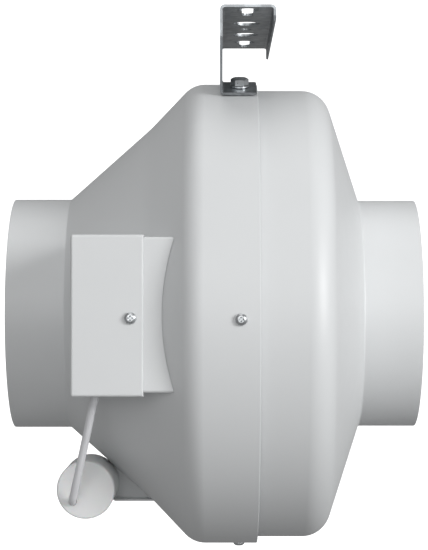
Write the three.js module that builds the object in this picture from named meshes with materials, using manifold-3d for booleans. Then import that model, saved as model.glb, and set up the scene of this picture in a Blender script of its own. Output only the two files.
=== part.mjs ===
// Inline duct fan: two-piece sheet-steel casing, external-rotor motor with a backward-curved
// impeller, terminal box, motor capacitor and a ceiling bracket.
// Millimetres, +Z up. Air enters at +X and leaves at -X, and the terminal box is on the front, -Y.
// Inside the fan group the duct axis is the X axis and x = 0 is the plane of the casing joint.
// The part's origin is on the bracket's ceiling face, straight above the axis in that plane.
import * as THREE from 'three';
import { mergeVertices } from 'three/addons/utils/BufferGeometryUtils.js';
import Module from 'manifold-3d';

const wasm = await Module();
wasm.setup();

// ---- General ----
const GAP = 0.3; // left between pieces that touch
const CASING_STEPS = 48; // facets round the casing and what is fitted to it
const ROUND_STEPS = 36; // facets round the impeller and the motor
const SMALL_STEPS = 16; // facets round bearings, grommets and the capacitor
const SCREW_STEPS = 10; // facets round screws and small holes
const FILLET_STEP = 0.42; // radians turned by one chord of a fillet

// ---- Casing ----
const SHEET = 1; // wall of both shells
const OUTLET_SPIGOT_R = 74.9;
const OUTLET_SPIGOT_LENGTH = 37;
const OUTLET_CONE_ANGLE = 41.5; // degrees to the axis, next to the spigot
const OUTLET_SHOULDER_ANGLE = 46.3; // degrees to the axis, next to the band
const OUTLET_KINK_R = 121.4; // where the two cone angles meet
const OUTLET_KINK_FILLET = 100;
const OUTLET_BAND_R = 150.2;
const OUTLET_BAND_LENGTH = 41.2;
const OUTLET_FILLET = 18;
const INLET_SPIGOT_R = 74.1;
const INLET_SPIGOT_LENGTH = 37.2;
const INLET_CONE_ANGLE = 71.7;
const INLET_BAND_LENGTH = 42.4;
const INLET_FILLET = 18;
const LAP_LENGTH = 23; // how far the inlet shell's rim runs inside the outlet shell's band
const JOGGLE = 2.9; // step from the rim down to the inlet shell's visible band
const CASING_SCREW_ANGLES = { front: -91, bottom: 180, back: 91 }; // degrees from the top

// ---- Hanging bracket ----
const BRACKET_SHEET = 1.6;
const BRACKET_RISE = 38.9; // ceiling face above the casing band
const BRACKET_LENGTH = 207.4;
const BRACKET_WIDTH = 34.4;
const BRACKET_LIP = 9.8; // depth of the stiffening lip, over the ceiling face
const BRACKET_CORNER = 3;
const BRACKET_END_HEIGHT = 19.5; // straight ends of the web
const BRACKET_ARCH = 3; // clearance of the web over the casing
const BRACKET_WEB_TO_BOLT = 12.5;
const FOOT_ANGLE = 18.5; // degrees from the top
const FOOT_LENGTH = 31;
const FOOT_WIDTH = 23.3;
const HANGER_HOLE_OFFSET = 17.2; // hole line behind the web's outer face
const CENTRE_HOLE_R = 3.5;
const ROUND_HOLE_R = 8.5;
const ROUND_HOLE_Y = 27.5;
const KEYHOLE_HEAD_R = 6.75;
const KEYHOLE_SLOT_R = 3.5;
const KEYHOLE_SLOT_LENGTH = 23; // head centre to slot end centre
const KEYHOLE_PITCH = 157.5; // between the middles of the two keyholes

// ---- Fasteners ----
const CASING_SCREW = { headR: 3.6, headHeight: 2.4, shankR: 1.75, length: 9, recess: 1.2 };
const COVER_SCREW = { headR: 3.6, headHeight: 2.4, shankR: 1.75, length: 7, recess: 1.2 };
const MOTOR_SCREW = { headR: 3.5, headHeight: 2.4, shankR: 2, length: 5.5, recess: 1.2 };
const EARTH_SCREW = { headR: 3.5, headHeight: 2.2, shankR: 2, length: 5, recess: 1.1 };
const BOLT_R = 3;
const BOLT_ACROSS_FLATS = 10;
const BOLT_HEAD_HEIGHT = 4;
const BOLT_LENGTH = 12;
const BOLT_WASHER_R = 6;
const BOLT_WASHER_THICKNESS = 1.2;
const BOLT_NUT_HEIGHT = 5;
const HOLE_CLEARANCE = 0.4; // radial, round a screw's or a bolt's shank

// ---- Terminal box ----
const BOX_SHEET = 1;
const BOX_FRONT = 132.3; // front of the base, from the axis
const BOX_HEIGHT = 92.9;
const BOX_REACH = 9.5; // left wall, from the root of the outlet cone
const COVER_WIDTH = 43.5;
const COVER_PLAY = 0.85; // between the cover's lips and the base, above and below
const COVER_SAG = 0.5;
const COVER_LIP = 9;
const COVER_SCREW_INSET = 7.7; // from the cover's free edge
const COVER_SCREW_Z = -2;
const FRONT_STRIP_OVERLAP = 14; // base front that lies behind the cover
const TERMINAL_BLOCK = { width: 14, depth: 16, height: 35, z: 8, poles: 4 };
const SUPPLY_HOLE_R = 6.5;
const SUPPLY_HOLE_Z = -26;
const BOX_HOLE_DEPTH = 24; // supply and lead holes, behind the base's front
const LEAD_R = 2.45;
const LEAD_EXIT_INSET = 11.7; // lead hole, from the left wall
const EARTH_SETBACK = 42; // earth screw on the outlet cone, from its root
const EARTH_ANGLE = -76; // degrees from the top

// ---- Capacitor ----
const CAPACITOR_R = 18.3;
const CAPACITOR_LENGTH = 60;
const CAPACITOR_SETBACK = 12.6; // axis, from the root of the outlet cone
const CAPACITOR_CLEARANCE = 0.3; // to the casing
const CAPACITOR_LID = 4;
const CAPACITOR_LEAD_X = -8.1; // lead entry, from the capacitor's axis
const CAPACITOR_LEAD_Z = -7.2;
const STUD_R = 4;
const STUD_NUT_ACROSS_FLATS = 13;
const STUD_NUT_HEIGHT = 5;
const STUD_WASHER_R = 8;
const STUD_WASHER_THICKNESS = 1.2;
const TAB_SHEET = 1.5;
const TAB_HALF_HEIGHT = 12.2;
const TAB_FLANGE = 8;

// ---- Motor ----
const SUPPORT_SHEET = 1.6;
const SUPPORT_SETBACK = 12.8; // outlet face of the support, from the shoulder corner
const SUPPORT_DISC_R = 44;
const SUPPORT_ARMS = 4;
const SUPPORT_ARM_WIDTH = 24;
const SUPPORT_FOOT_LENGTH = 9;
const SUPPORT_FOOT_GAP = 0.9; // flat foot inside the round shoulder
const STATOR_FLANGE_R = 38;
const STATOR_FLANGE_THICKNESS = 5;
const BEARING_TUBE_LENGTH = 50;
const BEARING_TUBE_WALL = 2.4;
const MOTOR_SCREW_CIRCLE_R = 30;
const ROTOR_R = 46;
const ROTOR_CUP_WALL = 2.5;
const ROTOR_CORE_WALL = 4;
const ROTOR_OPEN_END_GAP = 3; // rotor cup to stator flange
const ROTOR_END_WALL = 3.5;
const ROTOR_END_GAP = 4.5; // bearing tube to the cup's end wall
const ROTOR_FLANGE_WIDTH = 8;
const ROTOR_FLANGE_THICKNESS = 2.5;
const ROTOR_FLANGE_SETBACK = 20; // from the cup's open end
const AIR_GAP = 0.6;
const STATOR_CORE_LENGTH = 25;
const STATOR_TEETH = 12;
const WINDING_LENGTH = 7;
const SHAFT_R = 4;
const BEARING = { outerR: 11, width: 7, pitchR: 7.5, ballR: 1.95, balls: 7, ringWall: 1.9 };
const BEARING_INSET = 1; // from each end of the bearing tube
const MOTOR_CABLE_R = 3;
const MOTOR_CABLE_OFFSET = 24; // cable hole in the support, from the axis
const MOTOR_GROMMET_SETBACK = 37; // cable hole in the outlet cone, from its root

// ---- Impeller ----
const IMPELLER_SHEET = 1.2;
const IMPELLER_R = 95;
const BLADE_COUNT = 7;
const BLADE_ANGLE = 35; // degrees to the tangent
const BLADE_INSET = 14; // inner edge of the blades, outside the rotor cup
const BLADE_END_INSET = 2; // outer edge of the blades, inside the impeller's rim
const OUTLET_WIDTH = 35; // between back plate and shroud at the rim
const SHROUD_RISE = 12; // from the rim to the start of the eye
const SHROUD_FILLET = 9;
const EYE_LENGTH = 8;
const RIVET_COUNT = 4;
const RIVET_R = 1.6;
const RIVET_HEAD_R = 2.8;
const RIVET_HEAD_HEIGHT = 1.2;

// ---- Inlet nozzle ----
const NOZZLE_SHEET = 0.8;
const NOZZLE_THROAT_R = 59; // outside of the throat
const NOZZLE_RUNNING_GAP = 2.4; // throat to the impeller's eye
const NOZZLE_OVERLAP = 6; // throat inside the eye
const NOZZLE_THROAT_LENGTH = 16;
const NOZZLE_COLLAR_START = 1.5; // inlet side of the spigot's root
const NOZZLE_COLLAR_LENGTH = 19;
const NOZZLE_FILLET = 14;

// ---- Places that follow from the sizes ----
const radians = THREE.MathUtils.degToRad;
const FASTENER_X = -LAP_LENGTH / 2;
const SHOULDER_X = -OUTLET_BAND_LENGTH;
const KINK_X = SHOULDER_X - (OUTLET_BAND_R - OUTLET_KINK_R) / Math.tan(radians(OUTLET_SHOULDER_ANGLE));
const OUTLET_ROOT_X = KINK_X - (OUTLET_KINK_R - OUTLET_SPIGOT_R) / Math.tan(radians(OUTLET_CONE_ANGLE));
const OUTLET_RIM_X = OUTLET_ROOT_X - OUTLET_SPIGOT_LENGTH;
const RIM_R = OUTLET_BAND_R - SHEET - GAP; // outside of the inlet shell under the lap
const INLET_BAND_R = RIM_R - JOGGLE;
const INLET_ROOT_X = INLET_BAND_LENGTH
  + (INLET_BAND_R - INLET_SPIGOT_R) / Math.tan(radians(INLET_CONE_ANGLE));
const INLET_RIM_X = INLET_ROOT_X + INLET_SPIGOT_LENGTH;
const CEILING_Z = OUTLET_BAND_R + BRACKET_RISE;
const FOOT_R = OUTLET_BAND_R + GAP;
const WEB_X = FASTENER_X - BRACKET_WEB_TO_BOLT;
const BOX_LEFT_X = OUTLET_ROOT_X + BOX_REACH;
const COVER_LEFT_X = BOX_LEFT_X - GAP - BOX_SHEET;
const COVER_RIGHT_X = COVER_LEFT_X + COVER_WIDTH;
const COVER_FRONT = BOX_FRONT + GAP + BOX_SHEET;
const COVER_SCREW_X = COVER_RIGHT_X - COVER_SCREW_INSET;
const LEAD_EXIT_X = BOX_LEFT_X + LEAD_EXIT_INSET;
const BOX_HOLE_Y = BOX_HOLE_DEPTH - BOX_FRONT;
const BLOCK_X = BOX_LEFT_X + BOX_SHEET + GAP + TERMINAL_BLOCK.width / 2;
const BLOCK_Y = BOX_HOLE_Y - 4;
const MOTOR_GROMMET_X = OUTLET_ROOT_X + MOTOR_GROMMET_SETBACK;
const MOTOR_GROMMET_HOLE_R = MOTOR_CABLE_R + 2;
const EARTH_X = OUTLET_ROOT_X + EARTH_SETBACK;
const CAPACITOR_X = OUTLET_ROOT_X + CAPACITOR_SETBACK;
const CAPACITOR_Z = -OUTLET_SPIGOT_R - (CAPACITOR_X - OUTLET_ROOT_X) * Math.tan(radians(OUTLET_CONE_ANGLE))
  - (CAPACITOR_R + CAPACITOR_CLEARANCE) / Math.cos(radians(OUTLET_CONE_ANGLE));
const SUPPORT_X = SHOULDER_X - SUPPORT_SETBACK;
const FLANGE_X = SUPPORT_X + SUPPORT_SHEET + GAP;
const CUP_OPEN_X = FLANGE_X + STATOR_FLANGE_THICKNESS + ROTOR_OPEN_END_GAP;
const TUBE_END_X = FLANGE_X + BEARING_TUBE_LENGTH;
const CUP_END_X = TUBE_END_X + ROTOR_END_GAP + ROTOR_END_WALL;
const ROTOR_FLANGE_X = CUP_OPEN_X + ROTOR_FLANGE_SETBACK;
const BACK_PLATE_X = ROTOR_FLANGE_X + ROTOR_FLANGE_THICKNESS + GAP;
const BLADE_X = BACK_PLATE_X + IMPELLER_SHEET + GAP;
const SHROUD_X = BACK_PLATE_X + IMPELLER_SHEET + OUTLET_WIDTH + IMPELLER_SHEET;
const EYE_R = NOZZLE_THROAT_R + NOZZLE_RUNNING_GAP + IMPELLER_SHEET;
const EYE_X = SHROUD_X + SHROUD_RISE + EYE_LENGTH;
const BLADE_INNER_R = ROTOR_R + BLADE_INSET;
const NOZZLE_TIP_X = EYE_X - NOZZLE_OVERLAP;
const BEARING_STARTS = {
  outlet: FLANGE_X + BEARING_INSET,
  inlet: TUBE_END_X - BEARING_INSET - BEARING.width,
};

// ---- Finishes ----
const PAINTED_STEEL = { color: 0xd9dbdb, roughness: 0.45, metalness: 0 };
const WHITE_PLASTIC = { color: 0xe4e6e6, roughness: 0.4, metalness: 0 };
const ZINC_STEEL = { color: 0xb4b8bb, roughness: 0.32, metalness: 1 };
const GALVANISED_STEEL = { color: 0x9fa3a6, roughness: 0.42, metalness: 1 };
const CAST_ALUMINIUM = { color: 0xa9acae, roughness: 0.5, metalness: 1 };
const BEARING_STEEL = { color: 0xc2c5c8, roughness: 0.15, metalness: 1 };
const ELECTRICAL_STEEL = { color: 0x5a5d61, roughness: 0.5, metalness: 1 };
const COPPER_WIRE = { color: 0xa45a2a, roughness: 0.35, metalness: 1 };
const BLACK_RUBBER = { color: 0x202122, roughness: 0.8, metalness: 0 };
const WHITE_CABLE = { color: 0xe1e3e5, roughness: 0.5, metalness: 0 };

// ---- Outlines and solids ----

// Corners [x, r, fillet radius] as points, with each fillet as an arc.
function filleted(corners) {
  return corners.flatMap(([x, r, fillet], i) => {
    if (!fillet) {
      return [[x, r]];
    }
    const corner = new THREE.Vector2(x, r);
    const back = new THREE.Vector2(...corners[i - 1]).sub(corner).normalize();
    const ahead = new THREE.Vector2(...corners[i + 1]).sub(corner).normalize();
    const half = back.angleTo(ahead) / 2;
    const inward = back.clone().add(ahead).normalize();
    const centre = corner.clone().addScaledVector(inward, fillet / Math.sin(half));
    const start = corner.clone().addScaledVector(back, fillet / Math.tan(half));
    const turn = Math.sign(ahead.cross(back)) * (Math.PI - 2 * half);
    const chords = Math.ceil(Math.abs(turn) / FILLET_STEP);
    return Array.from({ length: chords + 1 }, (_, k) => {
      const point = start.clone().rotateAround(centre, (turn * k) / chords);
      return [point.x, point.y];
    });
  });
}

// A line of points moved to its left, mitred at each point.
function offset(points, distance) {
  const normalAt = (i) => {
    const along = [0, 1].map((k) => points[i + 1][k] - points[i][k]);
    return new THREE.Vector2(-along[1], along[0]).normalize();
  };
  return points.map(([x, r], i) => {
    const before = normalAt(Math.max(i - 1, 0));
    const after = normalAt(Math.min(i, points.length - 2));
    const mitre = before.clone().add(after).normalize();
    const reach = distance / mitre.dot(before);
    return [x + mitre.x * reach, r + mitre.y * reach];
  });
}

// The closed outline of a sheet whose left side is the given line.
function sheet(line, thickness) {
  return [...line, ...offset(line, -thickness).reverse()];
}

// A closed outline of [x, r] points turned round the X axis.
function revolve(outline, steps) {
  const points = outline.map(([x, r]) => new THREE.Vector2(r, x));
  if (THREE.ShapeUtils.area(points) < 0) {
    points.reverse();
  }
  if (points.some((point) => point.x > 0 && point === points[0])) {
    points.push(points[0].clone());
  }
  return new THREE.LatheGeometry(points, steps).rotateZ(-Math.PI / 2);
}

// A [height, r] outline turned round the Z axis, for screws, grommets and the capacitor.
function turn(outline, steps) {
  return revolve(outline, steps).rotateY(-Math.PI / 2);
}

function polygon(points) {
  return new THREE.Shape(points.map(([u, v]) => new THREE.Vector2(u, v)));
}

const EXTRUDE_BASES = {
  x: [[0, 1, 0], [0, 0, 1], [1, 0, 0]], // drawn in y, z
  y: [[1, 0, 0], [0, 0, 1], [0, -1, 0]], // drawn in x, z
  z: [[1, 0, 0], [0, 1, 0], [0, 0, 1]], // drawn in x, y
};

function extrude(shape, axis, low, high) {
  const basis = EXTRUDE_BASES[axis].map((column) => new THREE.Vector3(...column));
  return new THREE.ExtrudeGeometry(shape, { depth: high - low, bevelEnabled: false, curveSegments: 8 })
    .translate(0, 0, axis === 'y' ? -high : low)
    .applyMatrix4(new THREE.Matrix4().makeBasis(...basis));
}

function block([x0, x1], [y0, y1], [z0, z1]) {
  return new THREE.BoxGeometry(x1 - x0, y1 - y0, z1 - z0)
    .translate((x0 + x1) / 2, (y0 + y1) / 2, (z0 + z1) / 2);
}

// A cylinder along Z.
function rod(radius, low, high, steps = SCREW_STEPS) {
  return turn([[low, 0], [low, radius], [high, radius], [high, 0]], steps);
}

function hexagon(acrossFlats) {
  const corner = acrossFlats / Math.sqrt(3);
  return polygon(Array.from({ length: 6 }, (_, i) => (
    [corner * Math.cos((i * Math.PI) / 3), corner * Math.sin((i * Math.PI) / 3)]
  )));
}

function solidOf(geometry) {
  const plain = geometry.clone();
  plain.deleteAttribute('normal');
  plain.deleteAttribute('uv');
  const merged = mergeVertices(plain, 1e-4);
  const corners = Array.from(merged.index.array);
  const kept = corners.filter((_, i) => {
    const [a, b, c] = corners.slice(i - (i % 3), i - (i % 3) + 3);
    return a !== b && b !== c && c !== a;
  });
  return new wasm.Manifold(new wasm.Mesh({
    numProp: 3,
    vertProperties: merged.attributes.position.array,
    triVerts: new Uint32Array(kept),
  }));
}

function geometryOf(solid) {
  const { vertProperties, triVerts } = solid.getMesh();
  const geometry = new THREE.BufferGeometry();
  geometry.setAttribute('position', new THREE.BufferAttribute(vertProperties, 3));
  geometry.setIndex(new THREE.BufferAttribute(triVerts, 1));
  return geometry;
}

function cut(geometry, ...tools) {
  return geometryOf(tools.reduce((solid, tool) => solid.subtract(solidOf(tool)), solidOf(geometry)));
}

function join(first, ...others) {
  return geometryOf(others.reduce((solid, other) => solid.add(solidOf(other)), solidOf(first)));
}

function common(first, second) {
  return geometryOf(solidOf(first).intersect(solidOf(second)));
}

// Adds a named piece, stood in its place by a matrix where one is given.
function add(parent, name, geometry, finish, place = new THREE.Matrix4()) {
  const mesh = new THREE.Mesh(geometry, new THREE.MeshStandardMaterial(finish));
  mesh.name = name;
  mesh.applyMatrix4(place);
  parent.add(mesh);
  return mesh;
}

// Stands what is made along Z on a circle round the axis, at an angle from the top towards +Y.
function radialPlace(x, angle, radius) {
  return new THREE.Matrix4()
    .makeRotationX(-radians(angle))
    .multiply(new THREE.Matrix4().makeTranslation(x, 0, radius));
}

// Stands what is made along Z on the outside of the outlet cone.
function conePlace(x, angle) {
  return radialPlace(x, angle, outletConeRadius(x))
    .multiply(new THREE.Matrix4().makeRotationY(-radians(OUTLET_CONE_ANGLE)));
}

function lapHole(radius, angle) {
  return rod(radius, -10, 10).applyMatrix4(radialPlace(FASTENER_X, angle, OUTLET_BAND_R));
}

// A facet's middle lies inside the circle through its ends.
function facetRadius(radius) {
  return radius * Math.cos(Math.PI / CASING_STEPS);
}

// ---- Fasteners ----

// Pan head above z = 0 with a cross recess, shank below.
function panScrew({ headR, headHeight, shankR, length, recess }) {
  const crown = headR * 0.6;
  const body = turn([
    [-length, 0], [-length, shankR * 0.5], [-length + shankR, shankR], [0, shankR], [0, headR],
    [headHeight * 0.45, headR], [headHeight * 0.85, headR * 0.82], [headHeight, crown], [headHeight, 0],
  ], SCREW_STEPS);
  const slot = recess / 2;
  const bottom = headHeight - recess;
  return cut(
    body,
    block([-crown, crown], [-slot, slot], [bottom, headHeight + 1]),
    block([-slot, slot], [-crown, crown], [bottom, headHeight + 1]),
  );
}

function hexBolt() {
  const head = common(
    extrude(hexagon(BOLT_ACROSS_FLATS), 'z', 0, BOLT_HEAD_HEIGHT),
    turn([
      [-1, 0], [-1, BOLT_ACROSS_FLATS], [BOLT_HEAD_HEIGHT * 0.6, BOLT_ACROSS_FLATS * 0.6],
      [BOLT_HEAD_HEIGHT, BOLT_ACROSS_FLATS * 0.46], [BOLT_HEAD_HEIGHT, 0],
    ], SMALL_STEPS),
  );
  return join(head, rod(BOLT_R, -BOLT_LENGTH, 1));
}

function washer(radius, hole, thickness) {
  return turn([[0, hole], [0, radius], [thickness, radius], [thickness, hole]], SMALL_STEPS);
}

function hexNut(acrossFlats, hole, height) {
  return cut(extrude(hexagon(acrossFlats), 'z', 0, height), rod(hole, -1, height + 1));
}

// A rubber ring that grips a sheet lying between z = -wall and z = 0, with a bore.
function grommet(holeR, boreR, wall, slack = GAP) {
  const lip = 2;
  const neck = holeR - GAP;
  const flange = holeR + 2.5;
  const low = -wall - slack;
  return turn([
    [low - lip, boreR], [low - lip, flange - 1], [low, flange], [low, neck],
    [slack, neck], [slack, flange], [slack + lip, flange - 1], [slack + lip, boreR],
  ], SMALL_STEPS);
}

// ---- Casing ----

const OUTLET_LINE = filleted([
  [OUTLET_RIM_X, OUTLET_SPIGOT_R],
  [OUTLET_ROOT_X, OUTLET_SPIGOT_R],
  [KINK_X, OUTLET_KINK_R, OUTLET_KINK_FILLET],
  [SHOULDER_X, OUTLET_BAND_R, OUTLET_FILLET],
  [0, OUTLET_BAND_R],
]);

const INLET_LINE = filleted([
  [-LAP_LENGTH, RIM_R],
  [-JOGGLE, RIM_R],
  [0, INLET_BAND_R],
  [INLET_BAND_LENGTH, INLET_BAND_R, INLET_FILLET],
  [INLET_ROOT_X, INLET_SPIGOT_R],
  [INLET_RIM_X, INLET_SPIGOT_R],
]);

// The outlet shell's outside on the cone next to the spigot.
function outletConeRadius(x) {
  return OUTLET_SPIGOT_R + (x - OUTLET_ROOT_X) * Math.tan(radians(OUTLET_CONE_ANGLE));
}

// The space that the outlet shell and what is inside it take, grown by the gap.
function outletEnvelope() {
  const line = offset(OUTLET_LINE, GAP);
  return revolve([[line[0][0], 0], ...line, [line.at(-1)[0], 0]], CASING_STEPS);
}

function lapHoles() {
  const screwHole = CASING_SCREW.shankR + HOLE_CLEARANCE;
  const boltHole = BOLT_R + HOLE_CLEARANCE;
  return [
    ...Object.values(CASING_SCREW_ANGLES).map((angle) => lapHole(screwHole, angle)),
    ...[-FOOT_ANGLE, FOOT_ANGLE].map((angle) => lapHole(boltHole, angle)),
  ];
}

function outletShell() {
  const cableHole = rod(MOTOR_GROMMET_HOLE_R, -5, 5).applyMatrix4(conePlace(MOTOR_GROMMET_X, -90));
  const earthHole = rod(EARTH_SCREW.shankR + GAP, -5, 5).applyMatrix4(conePlace(EARTH_X, EARTH_ANGLE));
  return cut(revolve(sheet(OUTLET_LINE, SHEET), CASING_STEPS), ...lapHoles(), cableHole, earthHole);
}

function inletShell() {
  return cut(revolve(sheet(INLET_LINE, SHEET), CASING_STEPS), ...lapHoles());
}

function inletNozzle() {
  const collarR = INLET_SPIGOT_R - SHEET - GAP;
  const collar = INLET_ROOT_X + NOZZLE_COLLAR_START;
  return revolve(sheet(filleted([
    [NOZZLE_TIP_X, NOZZLE_THROAT_R],
    [NOZZLE_TIP_X + NOZZLE_THROAT_LENGTH, NOZZLE_THROAT_R, NOZZLE_FILLET],
    [collar, collarR, NOZZLE_FILLET],
    [collar + NOZZLE_COLLAR_LENGTH, collarR],
  ]), NOZZLE_SHEET), CASING_STEPS);
}

function addCasing(fan) {
  add(fan, 'outlet_shell', outletShell(), PAINTED_STEEL);
  add(fan, 'inlet_shell', inletShell(), PAINTED_STEEL);
  add(fan, 'inlet_nozzle', inletNozzle(), GALVANISED_STEEL);
  for (const [side, angle] of Object.entries(CASING_SCREW_ANGLES)) {
    const place = radialPlace(FASTENER_X, angle, OUTLET_BAND_R + GAP);
    add(fan, `casing_screw_${side}`, panScrew(CASING_SCREW), ZINC_STEEL, place);
  }
}

// ---- Hanging bracket ----

function keyhole(headX, headY) {
  const neck = Math.asin(KEYHOLE_SLOT_R / KEYHOLE_HEAD_R);
  const path = new THREE.Path();
  path.absarc(headX, headY, KEYHOLE_HEAD_R, Math.PI / 2 + neck, Math.PI * 2.5 - neck, false);
  path.absarc(headX, headY + KEYHOLE_SLOT_LENGTH, KEYHOLE_SLOT_R, 0, Math.PI, false);
  return path;
}

function ceilingFlange() {
  const half = BRACKET_LENGTH / 2;
  const right = WEB_X + BRACKET_WIDTH;
  const holeX = WEB_X + HANGER_HOLE_OFFSET;
  const shape = polygon([[WEB_X, -half], [right, -half], [right, half], [WEB_X, half]]);
  const rounds = [[0, CENTRE_HOLE_R], [-ROUND_HOLE_Y, ROUND_HOLE_R], [ROUND_HOLE_Y, ROUND_HOLE_R]];
  for (const [y, radius] of rounds) {
    shape.holes.push(new THREE.Path().absarc(holeX, y, radius, 0, Math.PI * 2, false));
  }
  for (const middle of [-KEYHOLE_PITCH / 2, KEYHOLE_PITCH / 2]) {
    shape.holes.push(keyhole(holeX, middle - KEYHOLE_SLOT_LENGTH / 2));
  }
  return extrude(shape, 'z', CEILING_Z - BRACKET_SHEET, CEILING_Z);
}

function bracketFoot(angle) {
  return cut(
    block([WEB_X, WEB_X + FOOT_WIDTH], [-FOOT_LENGTH / 2, FOOT_LENGTH / 2], [FOOT_R, FOOT_R + BRACKET_SHEET])
      .rotateX(-radians(angle)),
    lapHole(BOLT_R + HOLE_CLEARANCE, angle),
  );
}

// The web's outline in y, z, with its lower corners on the two feet.
function bracketWeb() {
  const half = BRACKET_LENGTH / 2;
  const onFoot = (along) => {
    const place = new THREE.Vector2(along, FOOT_R).rotateAround(new THREE.Vector2(), -radians(FOOT_ANGLE));
    return [place.x, place.y];
  };
  const archZ = OUTLET_BAND_R + BRACKET_ARCH;
  const inner = onFoot(-FOOT_LENGTH / 2);
  const side = [
    [half, CEILING_Z],
    [half, CEILING_Z - BRACKET_END_HEIGHT],
    onFoot(FOOT_LENGTH / 2),
    inner,
    [inner[0] - BRACKET_ARCH, archZ],
  ];
  const mirrored = side.map(([y, z]) => [-y, z]).reverse();
  return extrude(polygon([...side, ...mirrored]), 'x', WEB_X, WEB_X + BRACKET_SHEET);
}

function bracketLip() {
  const right = WEB_X + BRACKET_WIDTH;
  const half = BRACKET_LENGTH / 2;
  const low = CEILING_Z - BRACKET_LIP;
  return extrude(polygon([
    [-half, CEILING_Z], [-half, low + BRACKET_CORNER], [-half + BRACKET_CORNER, low],
    [half - BRACKET_CORNER, low], [half, low + BRACKET_CORNER], [half, CEILING_Z],
  ]), 'x', right - BRACKET_SHEET, right);
}

function addHanger(fan) {
  const feet = [-FOOT_ANGLE, FOOT_ANGLE].map(bracketFoot);
  add(fan, 'hanging_bracket', join(ceilingFlange(), bracketWeb(), bracketLip(), ...feet), GALVANISED_STEEL);
  const footTop = FOOT_R + BRACKET_SHEET;
  const washerBase = footTop + GAP;
  const headBase = washerBase + BOLT_WASHER_THICKNESS + GAP;
  const nutBase = facetRadius(RIM_R - SHEET) - GAP - BOLT_NUT_HEIGHT;
  const hole = BOLT_R + HOLE_CLEARANCE;
  for (const [side, angle] of [['front', -FOOT_ANGLE], ['back', FOOT_ANGLE]]) {
    const pieces = [
      ['washer', washer(BOLT_WASHER_R, hole, BOLT_WASHER_THICKNESS), washerBase],
      ['bolt', hexBolt(), headBase],
      ['nut', hexNut(BOLT_ACROSS_FLATS, hole, BOLT_NUT_HEIGHT), nutBase],
    ];
    for (const [piece, geometry, radius] of pieces) {
      add(fan, `bracket_${piece}_${side}`, geometry, ZINC_STEEL, radialPlace(FASTENER_X, angle, radius));
    }
  }
}

// ---- Terminal box ----

function supplyHole(radius) {
  return rod(radius, -5, 5, SMALL_STEPS)
    .rotateY(Math.PI / 2)
    .translate(BOX_LEFT_X, BOX_HOLE_Y, SUPPLY_HOLE_Z);
}

function terminalBoxBase() {
  const half = BOX_HEIGHT / 2;
  const inner = half - BOX_SHEET;
  const stripX = COVER_RIGHT_X - FRONT_STRIP_OVERLAP;
  const leadHole = rod(LEAD_R + 1.5, -half - 5, -half + 5).translate(LEAD_EXIT_X, BOX_HOLE_Y, 0);
  const screwHole = rod(COVER_SCREW.shankR + GAP, -5, 5)
    .rotateX(Math.PI / 2)
    .translate(COVER_SCREW_X, -BOX_FRONT, COVER_SCREW_Z);
  return cut(
    block([BOX_LEFT_X, SHOULDER_X], [-BOX_FRONT, 0], [-half, half]),
    block([BOX_LEFT_X + BOX_SHEET, 0], [-BOX_FRONT + BOX_SHEET, 1], [-inner, inner]),
    block([BOX_LEFT_X + BOX_SHEET, stripX], [-BOX_FRONT - 1, 0], [-inner, inner]),
    outletEnvelope(),
    supplyHole(SUPPLY_HOLE_R),
    leadHole,
    screwHole,
  );
}

function terminalBoxCover() {
  const half = BOX_HEIGHT / 2 + COVER_PLAY;
  const outer = half + BOX_SHEET;
  const back = -COVER_FRONT + COVER_LIP;
  const screwHole = rod(COVER_SCREW.shankR + HOLE_CLEARANCE, -5, 5)
    .rotateX(Math.PI / 2)
    .translate(COVER_SCREW_X, -COVER_FRONT, COVER_SCREW_Z + COVER_SAG);
  return cut(
    block([COVER_LEFT_X, COVER_RIGHT_X], [-COVER_FRONT, back], [-outer, outer]),
    block([COVER_LEFT_X + BOX_SHEET, COVER_RIGHT_X + 1], [-COVER_FRONT + BOX_SHEET, back + 1], [-half, half]),
    screwHole,
  );
}

function terminalBlock() {
  const { width, depth, height, poles } = TERMINAL_BLOCK;
  const pitch = height / poles;
  const wireHoles = [];
  for (let i = 0; i < poles; i += 1) {
    const z = (i + 0.5) * pitch - height / 2;
    wireHoles.push(block([1, width / 2 + 1], [-1.8, 1.8], [z - 1.8, z + 1.8]));
    wireHoles.push(rod(1.8, 0, 2 * depth).rotateX(Math.PI / 2).translate(0, -depth / 4, z));
  }
  const body = block([-width / 2, width / 2], [-depth / 2, depth / 2], [-height / 2, height / 2]);
  return cut(body, ...wireHoles);
}

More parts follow.
